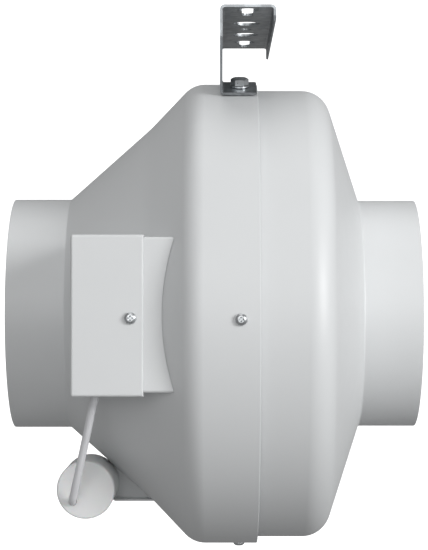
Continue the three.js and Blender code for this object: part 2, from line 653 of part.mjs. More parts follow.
function addTerminalBox(fan) {
  add(fan, 'terminal_box_base', terminalBoxBase(), PAINTED_STEEL);
  add(fan, 'terminal_box_cover', terminalBoxCover(), PAINTED_STEEL).position.z = -COVER_SAG;
  const coverScrew = add(fan, 'cover_screw', panScrew(COVER_SCREW), ZINC_STEEL);
  coverScrew.rotation.x = Math.PI / 2;
  coverScrew.position.set(COVER_SCREW_X, -COVER_FRONT - GAP, COVER_SCREW_Z);
  const terminal = add(fan, 'terminal_block', terminalBlock(), WHITE_PLASTIC);
  terminal.position.set(BLOCK_X, BLOCK_Y, TERMINAL_BLOCK.z);
  const supply = add(fan, 'supply_grommet', grommet(SUPPLY_HOLE_R, 3.5, BOX_SHEET), BLACK_RUBBER);
  supply.rotation.y = -Math.PI / 2;
  supply.position.set(BOX_LEFT_X, BOX_HOLE_Y, SUPPLY_HOLE_Z);
  const lead = add(fan, 'lead_grommet', grommet(LEAD_R + 1.5, LEAD_R + GAP, BOX_SHEET, 0.1), BLACK_RUBBER);
  lead.rotation.x = Math.PI;
  lead.position.set(LEAD_EXIT_X, BOX_HOLE_Y, -BOX_HEIGHT / 2);
  const motorGrommet = grommet(MOTOR_GROMMET_HOLE_R, MOTOR_CABLE_R + GAP, SHEET, 0.7);
  add(fan, 'motor_cable_grommet', motorGrommet, BLACK_RUBBER, conePlace(MOTOR_GROMMET_X, -90));
  add(fan, 'earth_screw', panScrew(EARTH_SCREW), ZINC_STEEL, conePlace(EARTH_X, EARTH_ANGLE)).translateZ(GAP);
}

// ---- Capacitor ----

// A round cable along a smooth curve through the points.
function cable(radius, points, steps) {
  const section = polygon(Array.from({ length: 8 }, (_, i) => (
    [radius * Math.cos((i * Math.PI) / 4), radius * Math.sin((i * Math.PI) / 4)]
  )));
  const stops = points.map((point) => new THREE.Vector3(...point));
  const path = new THREE.CatmullRomCurve3(stops, false, 'centripetal');
  return new THREE.ExtrudeGeometry(section, { steps, bevelEnabled: false, extrudePath: path });
}

// A strap from the outlet cone to behind the capacitor, with a flange along its lower edge.
function capacitorTab() {
  const low = CAPACITOR_Z - TAB_HALF_HEIGHT;
  const flangeX = CAPACITOR_X + Math.sqrt(CAPACITOR_R ** 2 - (TAB_HALF_HEIGHT - TAB_SHEET) ** 2) + 2 * GAP;
  const strap = new THREE.Shape();
  strap.absarc(CAPACITOR_X, CAPACITOR_Z, TAB_HALF_HEIGHT, Math.PI / 2, Math.PI * 1.5, false);
  strap.lineTo(SHOULDER_X, low);
  strap.lineTo(SHOULDER_X, CAPACITOR_Z + TAB_HALF_HEIGHT);
  return cut(
    join(
      extrude(strap, 'y', 0, TAB_SHEET),
      block([flangeX, SHOULDER_X], [-TAB_FLANGE, TAB_SHEET], [low, low + TAB_SHEET]),
    ),
    outletEnvelope(),
    rod(STUD_R + HOLE_CLEARANCE, -5, 5).rotateX(Math.PI / 2).translate(CAPACITOR_X, 0, CAPACITOR_Z),
  );
}

function capacitorBody() {
  const studEnd = TAB_SHEET + STUD_WASHER_THICKNESS + STUD_NUT_HEIGHT + 3 * GAP + 2;
  return turn([
    [-studEnd, 0], [-studEnd, STUD_R - 0.8], [-studEnd + 0.8, STUD_R], [GAP, STUD_R],
    [GAP, CAPACITOR_R - 1.5], [GAP + 1.5, CAPACITOR_R],
    [CAPACITOR_LENGTH - CAPACITOR_LID - GAP, CAPACITOR_R], [CAPACITOR_LENGTH - CAPACITOR_LID - GAP, 0],
  ], SMALL_STEPS);
}

function capacitorLid() {
  const back = CAPACITOR_LENGTH - CAPACITOR_LID;
  const lid = turn([
    [back, 0], [back, CAPACITOR_R], [CAPACITOR_LENGTH - 0.6, CAPACITOR_R],
    [CAPACITOR_LENGTH, CAPACITOR_R - 0.6], [CAPACITOR_LENGTH, 0],
  ], SMALL_STEPS * 2);
  const entry = rod(LEAD_R + GAP, back - 1, CAPACITOR_LENGTH + 1);
  return cut(lid, entry.translate(CAPACITOR_LEAD_X, CAPACITOR_LEAD_Z, 0));
}

// From under the terminal block, out of the box's floor and down into the capacitor's lid.
function capacitorLead() {
  const entryX = CAPACITOR_X + CAPACITOR_LEAD_X;
  const entryZ = CAPACITOR_Z + CAPACITOR_LEAD_Z;
  const floor = -BOX_HEIGHT / 2;
  return cable(LEAD_R, [
    [BLOCK_X, BLOCK_Y, TERMINAL_BLOCK.z - TERMINAL_BLOCK.height / 2 - GAP],
    [BLOCK_X, BLOCK_Y, -18],
    [LEAD_EXIT_X - 1, BOX_HOLE_Y - 1, floor + 10],
    [LEAD_EXIT_X, BOX_HOLE_Y, floor + 4],
    [LEAD_EXIT_X, BOX_HOLE_Y, floor - 4],
    [-101.6, -103.5, -56],
    [-104.6, -96.5, -69],
    [-108.2, -88, -84],
    [-111.8, -80, -99],
    [-114.6, -73, -109.8],
    [-116.3, -67.2, -116.3],
    [entryX, -CAPACITOR_LENGTH - 2.5, entryZ],
    [entryX, -CAPACITOR_LENGTH + CAPACITOR_LID - 1, entryZ],
  ], 26);
}

function addCapacitor(fan) {
  add(fan, 'capacitor_tab', capacitorTab(), PAINTED_STEEL);
  add(fan, 'capacitor_lead', capacitorLead(), WHITE_CABLE);
  const capacitor = new THREE.Group();
  capacitor.position.set(CAPACITOR_X, 0, CAPACITOR_Z);
  capacitor.rotation.x = Math.PI / 2;
  fan.add(capacitor);
  add(capacitor, 'capacitor_body', capacitorBody(), WHITE_PLASTIC);
  add(capacitor, 'capacitor_lid', capacitorLid(), WHITE_PLASTIC);
  const washerZ = -TAB_SHEET - GAP - STUD_WASHER_THICKNESS;
  const ring = washer(STUD_WASHER_R, STUD_R + GAP, STUD_WASHER_THICKNESS);
  add(capacitor, 'capacitor_washer', ring, ZINC_STEEL).position.z = washerZ;
  const nut = hexNut(STUD_NUT_ACROSS_FLATS, STUD_R + GAP, STUD_NUT_HEIGHT);
  add(capacitor, 'capacitor_nut', nut, ZINC_STEEL).position.z = washerZ - GAP - STUD_NUT_HEIGHT;
}

// ---- Motor ----

// One arm of the motor support in x, z: flat, then bent along the inside of the shoulder.
function supportArm() {
  const slope = Math.tan(radians(OUTLET_SHOULDER_ANGLE));
  const reach = (SHEET + SUPPORT_FOOT_GAP) / Math.cos(radians(OUTLET_SHOULDER_ANGLE));
  const bendR = OUTLET_BAND_R - SUPPORT_SETBACK * slope - reach;
  const line = [
    [SUPPORT_X, SUPPORT_DISC_R - 10],
    [SUPPORT_X, bendR],
    [
      SUPPORT_X + SUPPORT_FOOT_LENGTH * Math.cos(radians(OUTLET_SHOULDER_ANGLE)),
      bendR + SUPPORT_FOOT_LENGTH * Math.sin(radians(OUTLET_SHOULDER_ANGLE)),
    ],
  ];
  return extrude(polygon(sheet(line, SUPPORT_SHEET)), 'y', -SUPPORT_ARM_WIDTH / 2, SUPPORT_ARM_WIDTH / 2);
}

// Makes a tool along +X at each motor screw.
function atMotorScrews(make) {
  return Array.from({ length: 4 }, (_, i) => make(Math.PI / 4 + (i * Math.PI) / 2));
}

function motorScrewHole(angle) {
  return rod(MOTOR_SCREW.shankR + HOLE_CLEARANCE, -2, SUPPORT_SHEET + 2 * GAP + MOTOR_SCREW.length)
    .rotateY(Math.PI / 2)
    .translate(SUPPORT_X, MOTOR_SCREW_CIRCLE_R * Math.cos(angle), MOTOR_SCREW_CIRCLE_R * Math.sin(angle));
}

function motorSupport() {
  const disc = rod(SUPPORT_DISC_R, SUPPORT_X, SUPPORT_X + SUPPORT_SHEET, ROUND_STEPS).rotateY(Math.PI / 2);
  const arms = Array.from({ length: SUPPORT_ARMS }, (_, i) => (
    supportArm().rotateX(Math.PI * ((i + 0.5) * (2 / SUPPORT_ARMS)))
  ));
  const through = [SUPPORT_X - 1, SUPPORT_X + SUPPORT_SHEET + 1];
  const hub = rod(BEARING.outerR, ...through, SMALL_STEPS).rotateY(Math.PI / 2);
  const cableHole = rod(MOTOR_CABLE_R + 1, ...through)
    .rotateY(Math.PI / 2)
    .translate(0, -MOTOR_CABLE_OFFSET, 0);
  return cut(join(disc, ...arms), hub, cableHole, ...atMotorScrews(motorScrewHole));
}

// The motor's mounting flange with the tube that holds both bearings.
function statorFlange() {
  const seatR = BEARING.outerR + GAP;
  const tubeR = seatR + BEARING_TUBE_WALL;
  const outletSeat = BEARING_STARTS.outlet + BEARING.width + GAP;
  const inletSeat = BEARING_STARTS.inlet - GAP;
  const flangeEnd = FLANGE_X + STATOR_FLANGE_THICKNESS;
  const body = revolve([
    [FLANGE_X, seatR], [FLANGE_X, STATOR_FLANGE_R], [flangeEnd, STATOR_FLANGE_R], [flangeEnd, tubeR],
    [TUBE_END_X, tubeR], [TUBE_END_X, seatR], [inletSeat, seatR], [inletSeat, seatR - 2],
    [outletSeat, seatR - 2], [outletSeat, seatR],
  ], ROUND_STEPS);
  return cut(body, ...atMotorScrews(motorScrewHole));
}

// Laminations with a ring of T-shaped teeth towards the rotor.
function statorCore(innerR, outerR) {
  const pitch = (2 * Math.PI) / STATOR_TEETH;
  const yokeR = innerR + 5;
  const tipR = outerR - 2.5;
  const at = (radius, angle) => [radius * Math.cos(angle), radius * Math.sin(angle)];
  const outline = Array.from({ length: STATOR_TEETH }, (_, i) => i * pitch).flatMap((angle) => [
    at(yokeR, angle - pitch * 0.32), at(tipR, angle - pitch * 0.16), at(tipR, angle - pitch * 0.42),
    at(outerR, angle - pitch * 0.42), at(outerR, angle), at(outerR, angle + pitch * 0.42),
    at(tipR, angle + pitch * 0.42), at(tipR, angle + pitch * 0.16), at(yokeR, angle + pitch * 0.32),
  ]);
  const shape = polygon(outline);
  shape.holes.push(new THREE.Path().absarc(0, 0, innerR, 0, Math.PI * 2, false));
  return extrude(shape, 'x', 0, STATOR_CORE_LENGTH);
}

function windingHead(innerR, outerR) {
  return revolve([
    [0, innerR], [0, outerR], [WINDING_LENGTH - 2, outerR], [WINDING_LENGTH, outerR - 3],
    [WINDING_LENGTH, innerR + 3], [WINDING_LENGTH - 2, innerR],
  ], ROUND_STEPS);
}

// Ball bearing rings are plain outside and carry a round groove for the balls.
function bearingRing(plainR, wall, side) {
  const { width, pitchR, ballR } = BEARING;
  const landR = plainR + side * wall;
  const grooveR = ballR + GAP;
  const half = Math.acos(Math.abs(pitchR - landR) / grooveR);
  const groove = [-1, -0.5, 0, 0.5, 1].map((k) => [
    width / 2 + grooveR * Math.sin(k * half),
    pitchR - side * grooveR * Math.cos(k * half),
  ]);
  return revolve([[0, plainR], [0, landR], ...groove, [width, landR], [width, plainR]], SMALL_STEPS);
}

// Balls held in a ring: they travel together round the shaft.
function ballCage() {
  const { width, pitchR, ballR, balls } = BEARING;
  const ring = revolve([
    [width / 2 - 1.2, pitchR - 0.5], [width / 2 - 1.2, pitchR + 0.5],
    [width / 2 + 1.2, pitchR + 0.5], [width / 2 + 1.2, pitchR - 0.5],
  ], SMALL_STEPS);
  const set = Array.from({ length: balls }, (_, i) => (
    new THREE.SphereGeometry(ballR, 6, 4)
      .translate(width / 2, 0, pitchR)
      .rotateX((i * 2 * Math.PI) / balls)
  ));
  return join(ring, ...set);
}

function addStator(fan) {
  add(fan, 'motor_support', motorSupport(), GALVANISED_STEEL);
  add(fan, 'stator_flange', statorFlange(), CAST_ALUMINIUM);
  atMotorScrews((angle) => angle).forEach((angle, i) => {
    const screw = add(fan, `motor_screw_${i + 1}`, panScrew(MOTOR_SCREW), ZINC_STEEL);
    screw.rotation.y = -Math.PI / 2;
    const circle = MOTOR_SCREW_CIRCLE_R;
    screw.position.set(SUPPORT_X - GAP, circle * Math.cos(angle), circle * Math.sin(angle));
  });
  const coreInnerR = BEARING.outerR + BEARING_TUBE_WALL + 2 * GAP;
  const coreOuterR = ROTOR_R - ROTOR_CUP_WALL - GAP - ROTOR_CORE_WALL - AIR_GAP;
  const coreX = CUP_OPEN_X + WINDING_LENGTH + 2;
  add(fan, 'stator_core', statorCore(coreInnerR, coreOuterR), ELECTRICAL_STEEL).position.x = coreX;
  const windings = [
    ['winding_outlet_side', coreX - GAP, Math.PI],
    ['winding_inlet_side', coreX + STATOR_CORE_LENGTH + GAP, 0],
  ];
  for (const [name, x, turned] of windings) {
    const winding = add(fan, name, windingHead(coreInnerR + 2, coreOuterR - 3), COPPER_WIRE);
    winding.position.x = x;
    winding.rotation.y = turned;
  }
  for (const [side, x] of Object.entries(BEARING_STARTS)) {
    const ring = bearingRing(BEARING.outerR, BEARING.ringWall, -1);
    add(fan, `bearing_outer_ring_${side}`, ring, BEARING_STEEL).position.x = x;
    add(fan, `ball_cage_${side}`, ballCage(), BEARING_STEEL).position.x = x;
  }
}

// From the stator flange through the support, out along the cone's wall and into the box.
function addMotorCable(fan) {
  const wall = conePlace(MOTOR_GROMMET_X, -90);
  const onGrommet = (height) => new THREE.Vector3(0, 0, height).applyMatrix4(wall).toArray();
  const blockSide = BLOCK_X + TERMINAL_BLOCK.width / 2 + GAP;
  const route = [
    [FLANGE_X - GAP, -MOTOR_CABLE_OFFSET, 0],
    [SUPPORT_X - 3, -MOTOR_CABLE_OFFSET, 0],
    [SUPPORT_X - 9, -MOTOR_CABLE_OFFSET - 6, 0],
    [SUPPORT_X - 13, -MOTOR_CABLE_OFFSET - 22, 0],
    [SUPPORT_X - 17, -MOTOR_CABLE_OFFSET - 46, 0],
    onGrommet(-9),
    onGrommet(0),
    onGrommet(7),
    [blockSide + 9, BLOCK_Y - 3, 0],
    [blockSide + 0.7, BLOCK_Y - 3, 0],
  ];
  add(fan, 'motor_cable', cable(MOTOR_CABLE_R, route, 22), WHITE_CABLE);
}

// ---- Rotor and impeller ----

function rotorCup() {
  const inner = ROTOR_R - ROTOR_CUP_WALL;
  const flangeEnd = ROTOR_FLANGE_X + ROTOR_FLANGE_THICKNESS;
  const hubR = SHAFT_R + GAP;
  const cup = revolve([
    [CUP_OPEN_X, inner], [CUP_OPEN_X, ROTOR_R], [ROTOR_FLANGE_X, ROTOR_R],
    [ROTOR_FLANGE_X, ROTOR_R + ROTOR_FLANGE_WIDTH], [flangeEnd, ROTOR_R + ROTOR_FLANGE_WIDTH],
    [flangeEnd, ROTOR_R], [CUP_END_X - 3, ROTOR_R], [CUP_END_X, ROTOR_R - 3], [CUP_END_X, hubR],
    [CUP_END_X - ROTOR_END_WALL - 2, hubR], [CUP_END_X - ROTOR_END_WALL - 2, hubR + 4],
    [CUP_END_X - ROTOR_END_WALL, hubR + 4], [CUP_END_X - ROTOR_END_WALL, inner],
  ], ROUND_STEPS);
  return cut(cup, ...atRivets(rivetHole));
}

function rivetHole() {
  return rod(RIVET_R + GAP, -10, 10).rotateY(Math.PI / 2);
}

function atRivets(make) {
  const circle = ROTOR_R + ROTOR_FLANGE_WIDTH / 2;
  return Array.from({ length: RIVET_COUNT }, (_, i) => {
    const angle = ((i + 0.5) * 2 * Math.PI) / RIVET_COUNT;
    return make().translate(ROTOR_FLANGE_X, circle * Math.cos(angle), circle * Math.sin(angle));
  });
}

// A rivet through the rotor's flange and the back plate, with a head at each end.
function rivet() {
  const grip = ROTOR_FLANGE_THICKNESS + IMPELLER_SHEET + 3 * GAP;
  return turn([
    [-RIVET_HEAD_HEIGHT, 0], [-RIVET_HEAD_HEIGHT, RIVET_HEAD_R * 0.6], [0, RIVET_HEAD_R], [0, RIVET_R],
    [grip, RIVET_R], [grip, RIVET_HEAD_R], [grip + RIVET_HEAD_HEIGHT, RIVET_HEAD_R * 0.6],
    [grip + RIVET_HEAD_HEIGHT, 0],
  ], SCREW_STEPS);
}

function backPlate() {
  const plate = revolve([
    [BACK_PLATE_X, ROTOR_R + GAP], [BACK_PLATE_X, IMPELLER_R],
    [BACK_PLATE_X + IMPELLER_SHEET, IMPELLER_R], [BACK_PLATE_X + IMPELLER_SHEET, ROTOR_R + GAP],
  ], ROUND_STEPS);
  return cut(plate, ...atRivets(rivetHole));
}

const SHROUD_LINE = filleted([
  [SHROUD_X, IMPELLER_R],
  [SHROUD_X + SHROUD_RISE, EYE_R, SHROUD_FILLET],
  [EYE_X, EYE_R],
]);

// A backward-curved blade: its centre line keeps one angle to the tangent from hub to rim, and
// its top follows the inside of the shroud and ends below the nozzle's tip.
function blade() {
  const steps = 8;
  const spread = 1 / Math.tan(radians(BLADE_ANGLE));
  const centre = Array.from({ length: steps + 1 }, (_, i) => {
    const radius = BLADE_INNER_R + ((IMPELLER_R - BLADE_END_INSET - BLADE_INNER_R) * i) / steps;
    const angle = spread * Math.log(radius / BLADE_INNER_R);
    return [radius * Math.cos(angle), radius * Math.sin(angle)];
  });
  const strip = polygon(sheet(offset(centre, IMPELLER_SHEET / 2), IMPELLER_SHEET));
  const under = offset(SHROUD_LINE, -IMPELLER_SHEET - GAP).filter(([x]) => x < NOZZLE_TIP_X - GAP);
  const room = revolve([[BLADE_X, 0], [BLADE_X, IMPELLER_R], ...under, [under.at(-1)[0], 0]], ROUND_STEPS);
  return common(extrude(strip, 'x', BLADE_X, EYE_X), room);
}

function addRotor(fan) {
  add(fan, 'rotor_cup', rotorCup(), CAST_ALUMINIUM);
  const coreR = ROTOR_R - ROTOR_CUP_WALL - GAP;
  const coreX = CUP_OPEN_X + WINDING_LENGTH + 2;
  const laminations = revolve([
    [coreX, coreR - ROTOR_CORE_WALL], [coreX, coreR],
    [coreX + STATOR_CORE_LENGTH, coreR], [coreX + STATOR_CORE_LENGTH, coreR - ROTOR_CORE_WALL],
  ], ROUND_STEPS);
  add(fan, 'rotor_laminations', laminations, ELECTRICAL_STEEL);
  const shaftStart = FLANGE_X - 1;
  const shaft = rod(SHAFT_R, shaftStart, CUP_END_X - 0.5, SMALL_STEPS).rotateY(Math.PI / 2);
  add(fan, 'shaft', shaft, BEARING_STEEL);
  for (const [side, x] of Object.entries(BEARING_STARTS)) {
    const ring = bearingRing(SHAFT_R + GAP, BEARING.ringWall, 1);
    add(fan, `bearing_inner_ring_${side}`, ring, BEARING_STEEL).position.x = x;
  }
  add(fan, 'impeller_back_plate', backPlate(), GALVANISED_STEEL);
  add(fan, 'impeller_shroud', revolve(sheet(SHROUD_LINE, IMPELLER_SHEET), ROUND_STEPS), GALVANISED_STEEL);
  for (let i = 0; i < BLADE_COUNT; i += 1) {
    const turned = (i * 2 * Math.PI) / BLADE_COUNT;
    add(fan, `impeller_blade_${i + 1}`, blade(), GALVANISED_STEEL).rotation.x = turned;
  }
  atRivets(() => rivet().rotateY(Math.PI / 2).translate(-GAP, 0, 0)).forEach((geometry, i) => {
    add(fan, `impeller_rivet_${i + 1}`, geometry, ZINC_STEEL);
  });
}

const fan = new THREE.Group();
fan.position.z = -CEILING_Z;
addCasing(fan);
addHanger(fan);
addTerminalBox(fan);
addCapacitor(fan);
addStator(fan);
addMotorCable(fan);
addRotor(fan);

const part = new THREE.Group();
part.add(fan);
export default part;
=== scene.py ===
import math

import bmesh
import bpy
from mathutils import Matrix, Vector


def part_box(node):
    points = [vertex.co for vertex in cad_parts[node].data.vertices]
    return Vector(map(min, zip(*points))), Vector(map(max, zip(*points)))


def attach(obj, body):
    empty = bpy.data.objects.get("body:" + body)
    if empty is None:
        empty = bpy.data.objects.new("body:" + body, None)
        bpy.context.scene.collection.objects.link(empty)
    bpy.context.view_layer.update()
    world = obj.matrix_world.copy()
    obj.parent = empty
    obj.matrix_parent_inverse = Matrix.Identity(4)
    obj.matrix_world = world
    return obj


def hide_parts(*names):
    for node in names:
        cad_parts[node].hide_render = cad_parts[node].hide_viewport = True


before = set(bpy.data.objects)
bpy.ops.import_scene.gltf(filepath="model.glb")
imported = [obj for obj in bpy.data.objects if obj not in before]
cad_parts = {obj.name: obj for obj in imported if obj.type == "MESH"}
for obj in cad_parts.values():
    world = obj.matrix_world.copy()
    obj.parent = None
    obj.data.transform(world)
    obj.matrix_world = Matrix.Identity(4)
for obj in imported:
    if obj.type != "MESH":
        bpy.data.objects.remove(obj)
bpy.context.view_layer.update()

bl_info = {
    "name": "Inline duct fan",
    "version": (1, 0, 0),
    "blender": (4, 5, 0),
    "location": "3D View > Sidebar > Duct fan",
    "description": "Builds the visible pieces of an inline duct fan around its packed frame",
    "category": "Object",
}

MM = 0.001
GAP = 0.3 * MM  # between pieces that touch
CASING_FACETS = 256
MOTOR_FACETS = 128
SMALL_FACETS = 48
CABLE_FACETS = 24
ARC_STEP = math.radians(6)
MERGE = 4e-6
SHORT_REACH = 5 * MM  # of a cutting tool on each side of a wall
REACH = 9 * MM
LONG_REACH = 19 * MM
FULL_REACH = 29 * MM

# ---- Places from the frame ----
OUTLET_LOW, OUTLET_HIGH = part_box("outlet_shell")
INLET_LOW, INLET_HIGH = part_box("inlet_shell")
AXIS_Z = (OUTLET_LOW.z + OUTLET_HIGH.z) / 2
BAND_RADIUS = (OUTLET_HIGH.z - OUTLET_LOW.z) / 2
ON_AXIS = Matrix.Translation((0, 0, AXIS_Z))
TO_FRONT = Matrix.Rotation(math.pi / 2, 4, "X")  # what is made along Z points to the front
TO_LEFT = Matrix.Rotation(-math.pi / 2, 4, "Y")
FASTENER_X = sum(corner.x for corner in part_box("casing_screw_bottom")) / 2


def linear(code):
    """An sRGB hex colour as a linear colour."""
    values = [int(code[i : i + 2], 16) / 255 for i in (1, 3, 5)]
    return [v / 12.92 if v <= 0.04045 else ((v + 0.055) / 1.055) ** 2.4 for v in values] + [1.0]


# ---- Settings ----


def length(name, description, default):
    return bpy.props.FloatProperty(
        name=name, description=description, default=default, min=0, unit="LENGTH", precision=4
    )


def angle(name, description, degrees):
    return bpy.props.FloatProperty(
        name=name, description=description, default=math.radians(degrees), subtype="ANGLE"
    )


def colour(name, description, code):
    return bpy.props.FloatVectorProperty(
        name=name, description=description, default=linear(code), size=4, min=0, max=1, subtype="COLOR"
    )


class DuctFanCasing(bpy.types.PropertyGroup):
    """Sizes of the two casing shells and the inlet nozzle."""

    sheet: length("Sheet", "Thickness of both shells", 1 * MM)
    outlet_spigot_radius: length("Outlet spigot radius", "Outside of the outlet spigot", 74.9 * MM)
    outlet_spigot_length: length("Outlet spigot length", "Straight part of the outlet spigot", 37 * MM)
    outlet_cone_angle: angle("Outlet cone angle", "Cone next to the spigot, to the axis", 41.5)
    kink_radius: length("Kink radius", "Where the outlet cone grows steeper", 121.4 * MM)
    kink_fillet: length("Kink fillet", "Radius that joins the two cone angles", 100 * MM)
    outlet_band_length: length("Outlet band length", "From the shoulder to the casing joint", 41.2 * MM)
    outlet_fillet: length("Outlet fillet", "Radius of the outlet shoulder", 18 * MM)
    spigot_fillet: length("Spigot fillet", "Radius where a spigot meets its cone", 1.5 * MM)
    inlet_spigot_radius: length("Inlet spigot radius", "Outside of the inlet spigot", 74.1 * MM)
    inlet_spigot_length: length("Inlet spigot length", "Straight part of the inlet spigot", 37.2 * MM)
    inlet_band_length: length("Inlet band length", "From the casing joint to the shoulder", 42.4 * MM)
    inlet_fillet: length("Inlet fillet", "Radius of the inlet shoulder", 18 * MM)
    joggle: length("Joggle", "Step from the lapped rim to the inlet band", 2.9 * MM)
    nozzle_sheet: length("Nozzle sheet", "Thickness of the inlet nozzle", 0.8 * MM)
    nozzle_throat_radius: length("Nozzle throat radius", "Outside of the throat", 59 * MM)
    nozzle_throat_length: length("Nozzle throat length", "Straight part of the throat", 16 * MM)
    nozzle_collar_length: length("Nozzle collar length", "Part inside the spigot", 19 * MM)
    nozzle_fillet: length("Nozzle fillet", "Radius at both ends of the flare", 14 * MM)


class DuctFanBracket(bpy.types.PropertyGroup):
    """Sizes of the hanging bracket."""

    sheet: length("Sheet", "Thickness of the bracket", 1.6 * MM)
    bend: length("Bend", "Outside radius of the bends", 3 * MM)
    corner: length("Lip corner", "Cut corners of the lip", 3 * MM)
    lip: length("Lip", "Depth of the stiffening lip", 9.8 * MM)
    end_height: length("End height", "Straight ends of the web", 19.5 * MM)
    arch: length("Arch", "Clearance of the web over the casing", 3 * MM)
    foot_angle: angle("Foot angle", "Feet, from the top of the casing", 18.5)
    foot_length: length("Foot length", "Length of a foot round the casing", 31 * MM)
    foot_width: length("Foot width", "Width of a foot along the axis", 23.3 * MM)
    hole_line: length("Hole line", "From the web to the line of holes", 17.2 * MM)
    centre_hole: length("Centre hole", "Radius of the centre hole", 3.5 * MM)
    round_hole: length("Round hole", "Radius of the two round holes", 8.5 * MM)
    round_hole_place: length("Round hole place", "Round holes, from the centre", 27.5 * MM)
    keyhole_head: length("Keyhole head", "Radius of a keyhole's head", 6.75 * MM)
    keyhole_slot: length("Keyhole slot", "Radius of a keyhole's slot", 3.5 * MM)
    keyhole_length: length("Keyhole length", "From head centre to slot end centre", 23 * MM)
    keyhole_pitch: length("Keyhole pitch", "Between the middles of the keyholes", 157.5 * MM)


class DuctFanBox(bpy.types.PropertyGroup):
    """Sizes of the terminal box and its cover."""

    sheet: length("Sheet", "Thickness of the base and the cover", 1 * MM)
    bend: length("Bend", "Outside radius of the bends", 1.6 * MM)
    edge: length("Cover edge", "Width of the cover's bevelled free edge", 0.8 * MM)
    strip: length("Strip", "Base front that lies behind the cover", 14 * MM)
    earth_setback: length("Earth screw setback", "Earth screw, from the root of the cone", 42 * MM)
    earth_angle: angle("Earth screw angle", "Earth screw, from the top", -76)
    cable_setback: length("Cable setback", "Motor cable hole, from the root of the cone", 37 * MM)
    supply_hole: length("Supply hole", "Radius of the supply cable's hole", 6.5 * MM)
    grommet_lip: length("Grommet lip", "Grommet lip outside its hole", 2.5 * MM)
    grommet_height: length("Grommet height", "Height of a grommet's lip", 2 * MM)
    lead_radius: length("Lead radius", "Capacitor lead", 2.45 * MM)
    cable_radius: length("Motor cable radius", "Cable from the motor to the box", 3 * MM)


class DuctFanCapacitor(bpy.types.PropertyGroup):
    """Sizes of the motor capacitor and its tab."""

    lid: length("Lid", "Depth of the lid", 4 * MM)
    lid_edge: length("Lid edge", "Radius of the lid's edge", 1.2 * MM)
    lead_x: length("Lead entry, along", "Lead entry from the axis, towards the outlet", 8.1 * MM)
    lead_z: length("Lead entry, down", "Lead entry below the axis", 7.2 * MM)
    stud_radius: length("Stud radius", "Fixing stud of the can", 4 * MM)
    tab_sheet: length("Tab sheet", "Thickness of the tab", 1.5 * MM)


class DuctFanFasteners(bpy.types.PropertyGroup):
    """Sizes of screws, bolts and rivets."""

    screw_head: length("Screw head", "Radius of a pan head", 3.6 * MM)
    screw_height: length("Screw height", "Height of a pan head", 2.4 * MM)
    screw_shank: length("Screw shank", "Radius over the thread", 1.75 * MM)
    screw_pitch: length("Screw pitch", "Thread pitch of the self-tapping screws", 1.3 * MM)
    bolt_radius: length("Bolt radius", "M6 bolt", 3 * MM)
    across_flats: length("Across flats", "Hexagon of the bolt and nut", 10 * MM)
    stud_flats: length("Stud nut flats", "Hexagon of the capacitor's nut", 13 * MM)
    rivet_head: length("Rivet head", "Radius of a rivet's head", 2.8 * MM)


class DuctFanMotor(bpy.types.PropertyGroup):
    """Sizes of the motor and the impeller."""

    support_disc: length("Support disc", "Radius of the support's disc", 44 * MM)
    support_sheet: length("Support sheet", "Thickness of the support", 1.6 * MM)
    arm_width: length("Arm width", "Width of a support arm", 24 * MM)
    foot_gap: length("Foot gap", "Flat foot inside the round shoulder", 0.9 * MM)
    hub_hole: length("Hub hole", "Radius of the support's centre hole", 11 * MM)
    cable_offset: length("Cable offset", "Cable hole of the support, from the axis", 24 * MM)
    motor_screw_hole: length("Motor screw hole", "Radius of the motor screw holes", 2.4 * MM)
    flange_thickness: length("Flange thickness", "Mounting flange of the stator", 5 * MM)
    tube_wall: length("Tube wall", "Wall of the bearing tube", 2.4 * MM)
    bearing_radius: length("Bearing radius", "Outside of the bearings", 11 * MM)
    bearing_width: length("Bearing width", "Width of the bearings", 7 * MM)
    ring_wall: length("Ring wall", "Wall of a bearing ring", 1.9 * MM)
    rotor_flange_thickness: length("Rotor flange thickness", "Flange of the rotor cup", 2.5 * MM)
    rotor_end: length("Rotor end", "End wall of the rotor cup", 3.5 * MM)
    rivet_radius: length("Rivet radius", "Shank of a rivet", 1.6 * MM)
    rivet_height: length("Rivet height", "Height of a rivet's head", 1.2 * MM)
    blade_end_inset: length("Blade end inset", "Blades inside the impeller's rim", 2 * MM)
    rotor_radius: length("Rotor radius", "Outside of the rotor cup", 46 * MM)
    rotor_wall: length("Rotor wall", "Wall of the rotor cup", 2.5 * MM)
    rotor_flange: length("Rotor flange", "Flange that carries the impeller", 8 * MM)
    shaft_radius: length("Shaft radius", "Motor shaft", 4 * MM)
    ball_radius: length("Ball radius", "Balls of the bearings", 1.95 * MM)
    ball_circle: length("Ball circle", "Radius of the circle of balls", 7.5 * MM)
    blade_angle: angle("Blade angle", "Blades, to the tangent", 35)
    blade_sheet: length("Impeller sheet", "Thickness of blades, shroud and plate", 1.2 * MM)
    blade_inner: length("Blade inner radius", "Inner edge of the blades", 60 * MM)
    impeller_radius: length("Impeller radius", "Rim of the impeller", 95 * MM)
    eye_radius: length("Eye radius", "Outside of the impeller's eye", 62.6 * MM)
    eye_fillet: length("Eye fillet", "Radius between shroud and eye", 9 * MM)
    eye_length: length("Eye length", "Straight part of the eye", 8 * MM)
    shroud_rise: length("Shroud rise", "From the rim to the start of the eye", 12 * MM)


